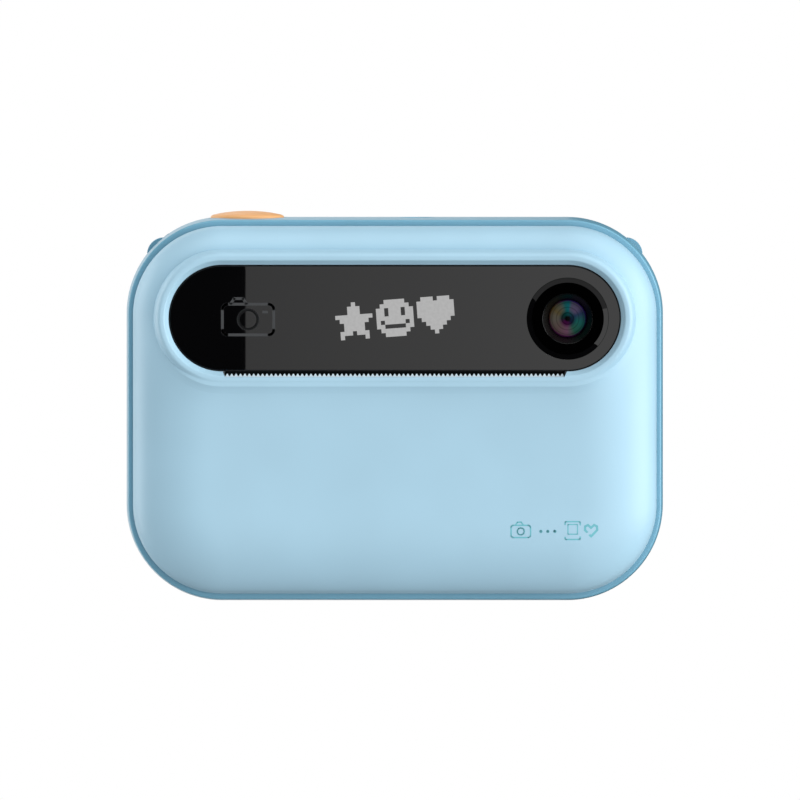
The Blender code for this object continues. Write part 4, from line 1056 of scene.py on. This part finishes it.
def make_port_cover():
    flap = prism(
        "port_flap", grown_box((0.5, 21.8), (7.3, 47.7), 1.2),
        [(46.9, -0.1), (46.98, 0.0), (47.65, 0.0), (47.78, -0.03), (47.86, -0.1), (47.9, -0.22)], "X",
    )
    lip_levels = [(47.6, 0.0), (48.05, 0.0), (48.15, -0.05), (48.2, -0.14)]
    lip = prism("lip", grown_box((1.1, 33.0), (1.7, 36.5), 0.29), lip_levels, "X")
    join(flap, lip)
    stand_in(flap, FRAME, "port_cover", "port_cover")


def make_card():
    card = prism(
        "storage_card", grown_box((4.05, 23.5), (5.0, 34.5), 0.12),
        [(31.6, -0.1), (31.7, 0.0), (46.5, 0.0), (46.6, -0.1)], "X",
    )
    ridge = prism("ridge", grown_box((3.9, 26.0), (4.2, 32.0), 0.1), [(45.4, 0.0), (45.9, 0.0)], "X")
    cut(card, ridge)
    stand_in(card, DARK, "memory_card", "memory_card")
    bm = bmesh.new()
    for i in range(8):
        z = 24.4 + i * 1.15
        loops = []
        for y in (5.0, 5.03):
            contact = ((32.2, z), (34.6, z), (34.6, z + 0.75), (32.2, z + 0.75))
            loops.append([Vector((a, y, b)) for a, b in contact])
        add_loft(bm, loops)
    place(finished(bm, "card_contacts"), GOLD, "memory_card")


# ------------------------------------------------------------------ CAD nodes that stay

KEPT = {
    "door_pin": STEEL, "lens_rear_element": PAINTED_LENS_REFLECTIONS, "camera_board": BOARD, "front_display": SCREEN,
    "rear_display": SCREEN, "main_board": BOARD, "top_board": BOARD, "keypad_board": BOARD,
    "keypad_membrane": SILICONE, "battery": POUCH, "speaker": DARK, "usb_port": STEEL,
    "card_socket": STEEL, "shutter_spring": SPRING, "power_spring": SPRING, "platen_roller": RUBBER,
    "platen_shaft": STEEL, "platen_gear": GEAR, "reduction_gear": GEAR, "reduction_pin": STEEL,
    "motor": STEEL, "motor_pinion": GEAR, "printer_frame": ALUMINIUM, "thermal_head": ALUMINIUM,
    "head_bracket": STEEL, "head_spring_left": SPRING, "head_spring_right": SPRING, "paper_bay": BAY,
    "paper_roll": ROLL, "roll_core": TUBE, "paper_web": PAPER,
}


def dress_cad_nodes():
    for name, material in KEPT.items():
        mesh = NODES[name].data
        mesh.materials.clear()
        mesh.materials.append(material)
        smooth(mesh, 35.0)


# ------------------------------------------------------------------ studio

FILL = 0.40


def emission(name, colour, strength):
    material = bpy.data.materials.new(name)
    material.use_nodes = True
    nodes, links = material.node_tree.nodes, material.node_tree.links
    nodes.clear()
    glow = nodes.new("ShaderNodeEmission")
    glow.inputs["Color"].default_value = colour
    glow.inputs["Strength"].default_value = strength
    links.new(glow.outputs[0], nodes.new("ShaderNodeOutputMaterial").inputs["Surface"])
    return material


def make_floor():
    mesh = bpy.data.meshes.new("floor")
    half, level = 40.0, -0.0004
    corners = [(-half, -half, level), (half, -half, level), (half, half, level), (-half, half, level)]
    mesh.from_pydata(corners, [], [(0, 1, 2, 3)])
    floor = bpy.data.objects.new("floor", mesh)
    bpy.context.scene.collection.objects.link(floor)
    mesh.materials.append(emission("floor_white", (1, 1, 1, 1), 1.0))
    for ray in ("diffuse", "glossy", "transmission", "volume_scatter", "shadow"):
        setattr(floor, "visible_" + ray, False)


def make_world():
    """White to the camera, a soft grey fill to matt surfaces, and black in reflections."""
    world = bpy.data.worlds.new("studio")
    bpy.context.scene.world = world
    world.use_nodes = True
    nodes, links = world.node_tree.nodes, world.node_tree.links
    nodes.clear()
    path = nodes.new("ShaderNodeLightPath")
    fill, backdrop = nodes.new("ShaderNodeBackground"), nodes.new("ShaderNodeBackground")
    fill.inputs["Color"].default_value = (0.94, 0.97, 1.0, 1.0)
    backdrop.inputs["Color"].default_value = (1, 1, 1, 1)
    share = nodes.new("ShaderNodeMath")
    share.operation = "MULTIPLY"
    share.inputs[1].default_value = FILL
    links.new(path.outputs["Is Diffuse Ray"], share.inputs[0])
    links.new(share.outputs[0], fill.inputs["Strength"])
    mix = nodes.new("ShaderNodeMixShader")
    links.new(path.outputs["Is Camera Ray"], mix.inputs["Fac"])
    links.new(fill.outputs[0], mix.inputs[1])
    links.new(backdrop.outputs[0], mix.inputs[2])
    links.new(mix.outputs[0], nodes.new("ShaderNodeOutputWorld").inputs["Surface"])


def softbox(name, centre, target, width, height, radiance, colour=(1, 1, 1), glossy=True):
    data = bpy.data.lights.new(name, "AREA")
    data.shape = "RECTANGLE"
    data.size, data.size_y = width, height
    data.energy = radiance * math.pi * width * height
    data.color = colour
    lamp = bpy.data.objects.new(name, data)
    bpy.context.scene.collection.objects.link(lamp)
    lamp.location = centre
    lamp.rotation_euler = (Vector(target) - Vector(centre)).to_track_quat("-Z", "Y").to_euler()
    lamp.visible_glossy = glossy
    return lamp


def fade_across(lamp, end, low):
    """Dims a softbox towards its left edge: from full at the share end down to low at the edge."""
    lamp.data.use_nodes = True
    nodes, links = lamp.data.node_tree.nodes, lamp.data.node_tree.links
    across = nodes.new("ShaderNodeSeparateXYZ")
    links.new(nodes.new("ShaderNodeNewGeometry").outputs["Parametric"], across.inputs[0])
    spread = nodes.new("ShaderNodeMapRange")
    spread.inputs["From Max"].default_value = end
    spread.inputs["To Min"].default_value = low
    links.new(across.outputs["X"], spread.inputs["Value"])
    links.new(spread.outputs["Result"], nodes["Emission"].inputs["Strength"])


def make_lights():
    target = (0.0, 0.0, 0.035)
    # The panel mirrors this card, whose left edge shows as the line between black and grey.
    left, right, low, high = -0.0406, 4.0, -1.35, 0.5
    centre = Vector(((left + right) / 2, -3.0, (low + high) / 2))
    card = softbox("front_card", centre, centre + Vector((0, 1, 0)), right - left, high - low, 1.34)
    fade_across(card, 0.1 / (right - left), 0.68)
    softbox("upper_card", (0.9, -3.0, 2.3), (0.9, 0.0, 2.3), 5.1, 3.6, 0.45)
    softbox("right_box", (1.7, -0.55, 0.3), target, 1.5, 1.8, 3.6)
    softbox("left_box", (-1.9, 0.55, 0.3), target, 1.5, 2.0, 2.4)
    softbox("top_box", (0.15, -0.45, 1.5), target, 1.8, 1.2, 1.3)
    softbox("bounce", (0.0, -1.0, -1.2), target, 2.5, 1.5, 0.25, glossy=False)
    softbox("rear_fill", (0.0, 2.6, 0.5), target, 2.4, 1.6, 1.1, glossy=False)
    softbox("rear_card", (-1.477, 3.0, 1.0), (-1.477, 0.0, 1.0), 3.046, 4.0, 0.9)


def make_camera():
    distance, rise = 6.0, math.radians(1.2)
    data = bpy.data.cameras.new("camera")
    data.sensor_width = 36.0
    data.lens = 36.0 / 0.1439 * distance
    data.clip_start, data.clip_end = 0.5, 400.0
    camera = bpy.data.objects.new("camera", data)
    bpy.context.scene.collection.objects.link(camera)
    aim = Vector((0.00094, 0.0, 0.0359))
    camera.location = aim + Vector((0.0, -math.cos(rise), math.sin(rise))) * distance
    camera.rotation_euler = (aim - camera.location).to_track_quat("-Z", "Y").to_euler()
    bpy.context.scene.camera = camera


make_camera()
make_front_cover()
make_tear_bar()
make_middle_frame()
make_strap_loop("strap_bar_left", -1, "strap_loop_left")
make_strap_loop("strap_bar_right", 1, "strap_loop_right")
make_back_cover()
make_paper_door()
make_screws()
make_panel()
make_gasket()
make_display_icons()
make_prints()
make_lens()
make_top_buttons()
make_keys()
make_window()
make_port_cover()
make_card()
dress_cad_nodes()
make_floor()
make_world()
make_lights()
bpy.context.scene.view_settings.view_transform = "Standard"
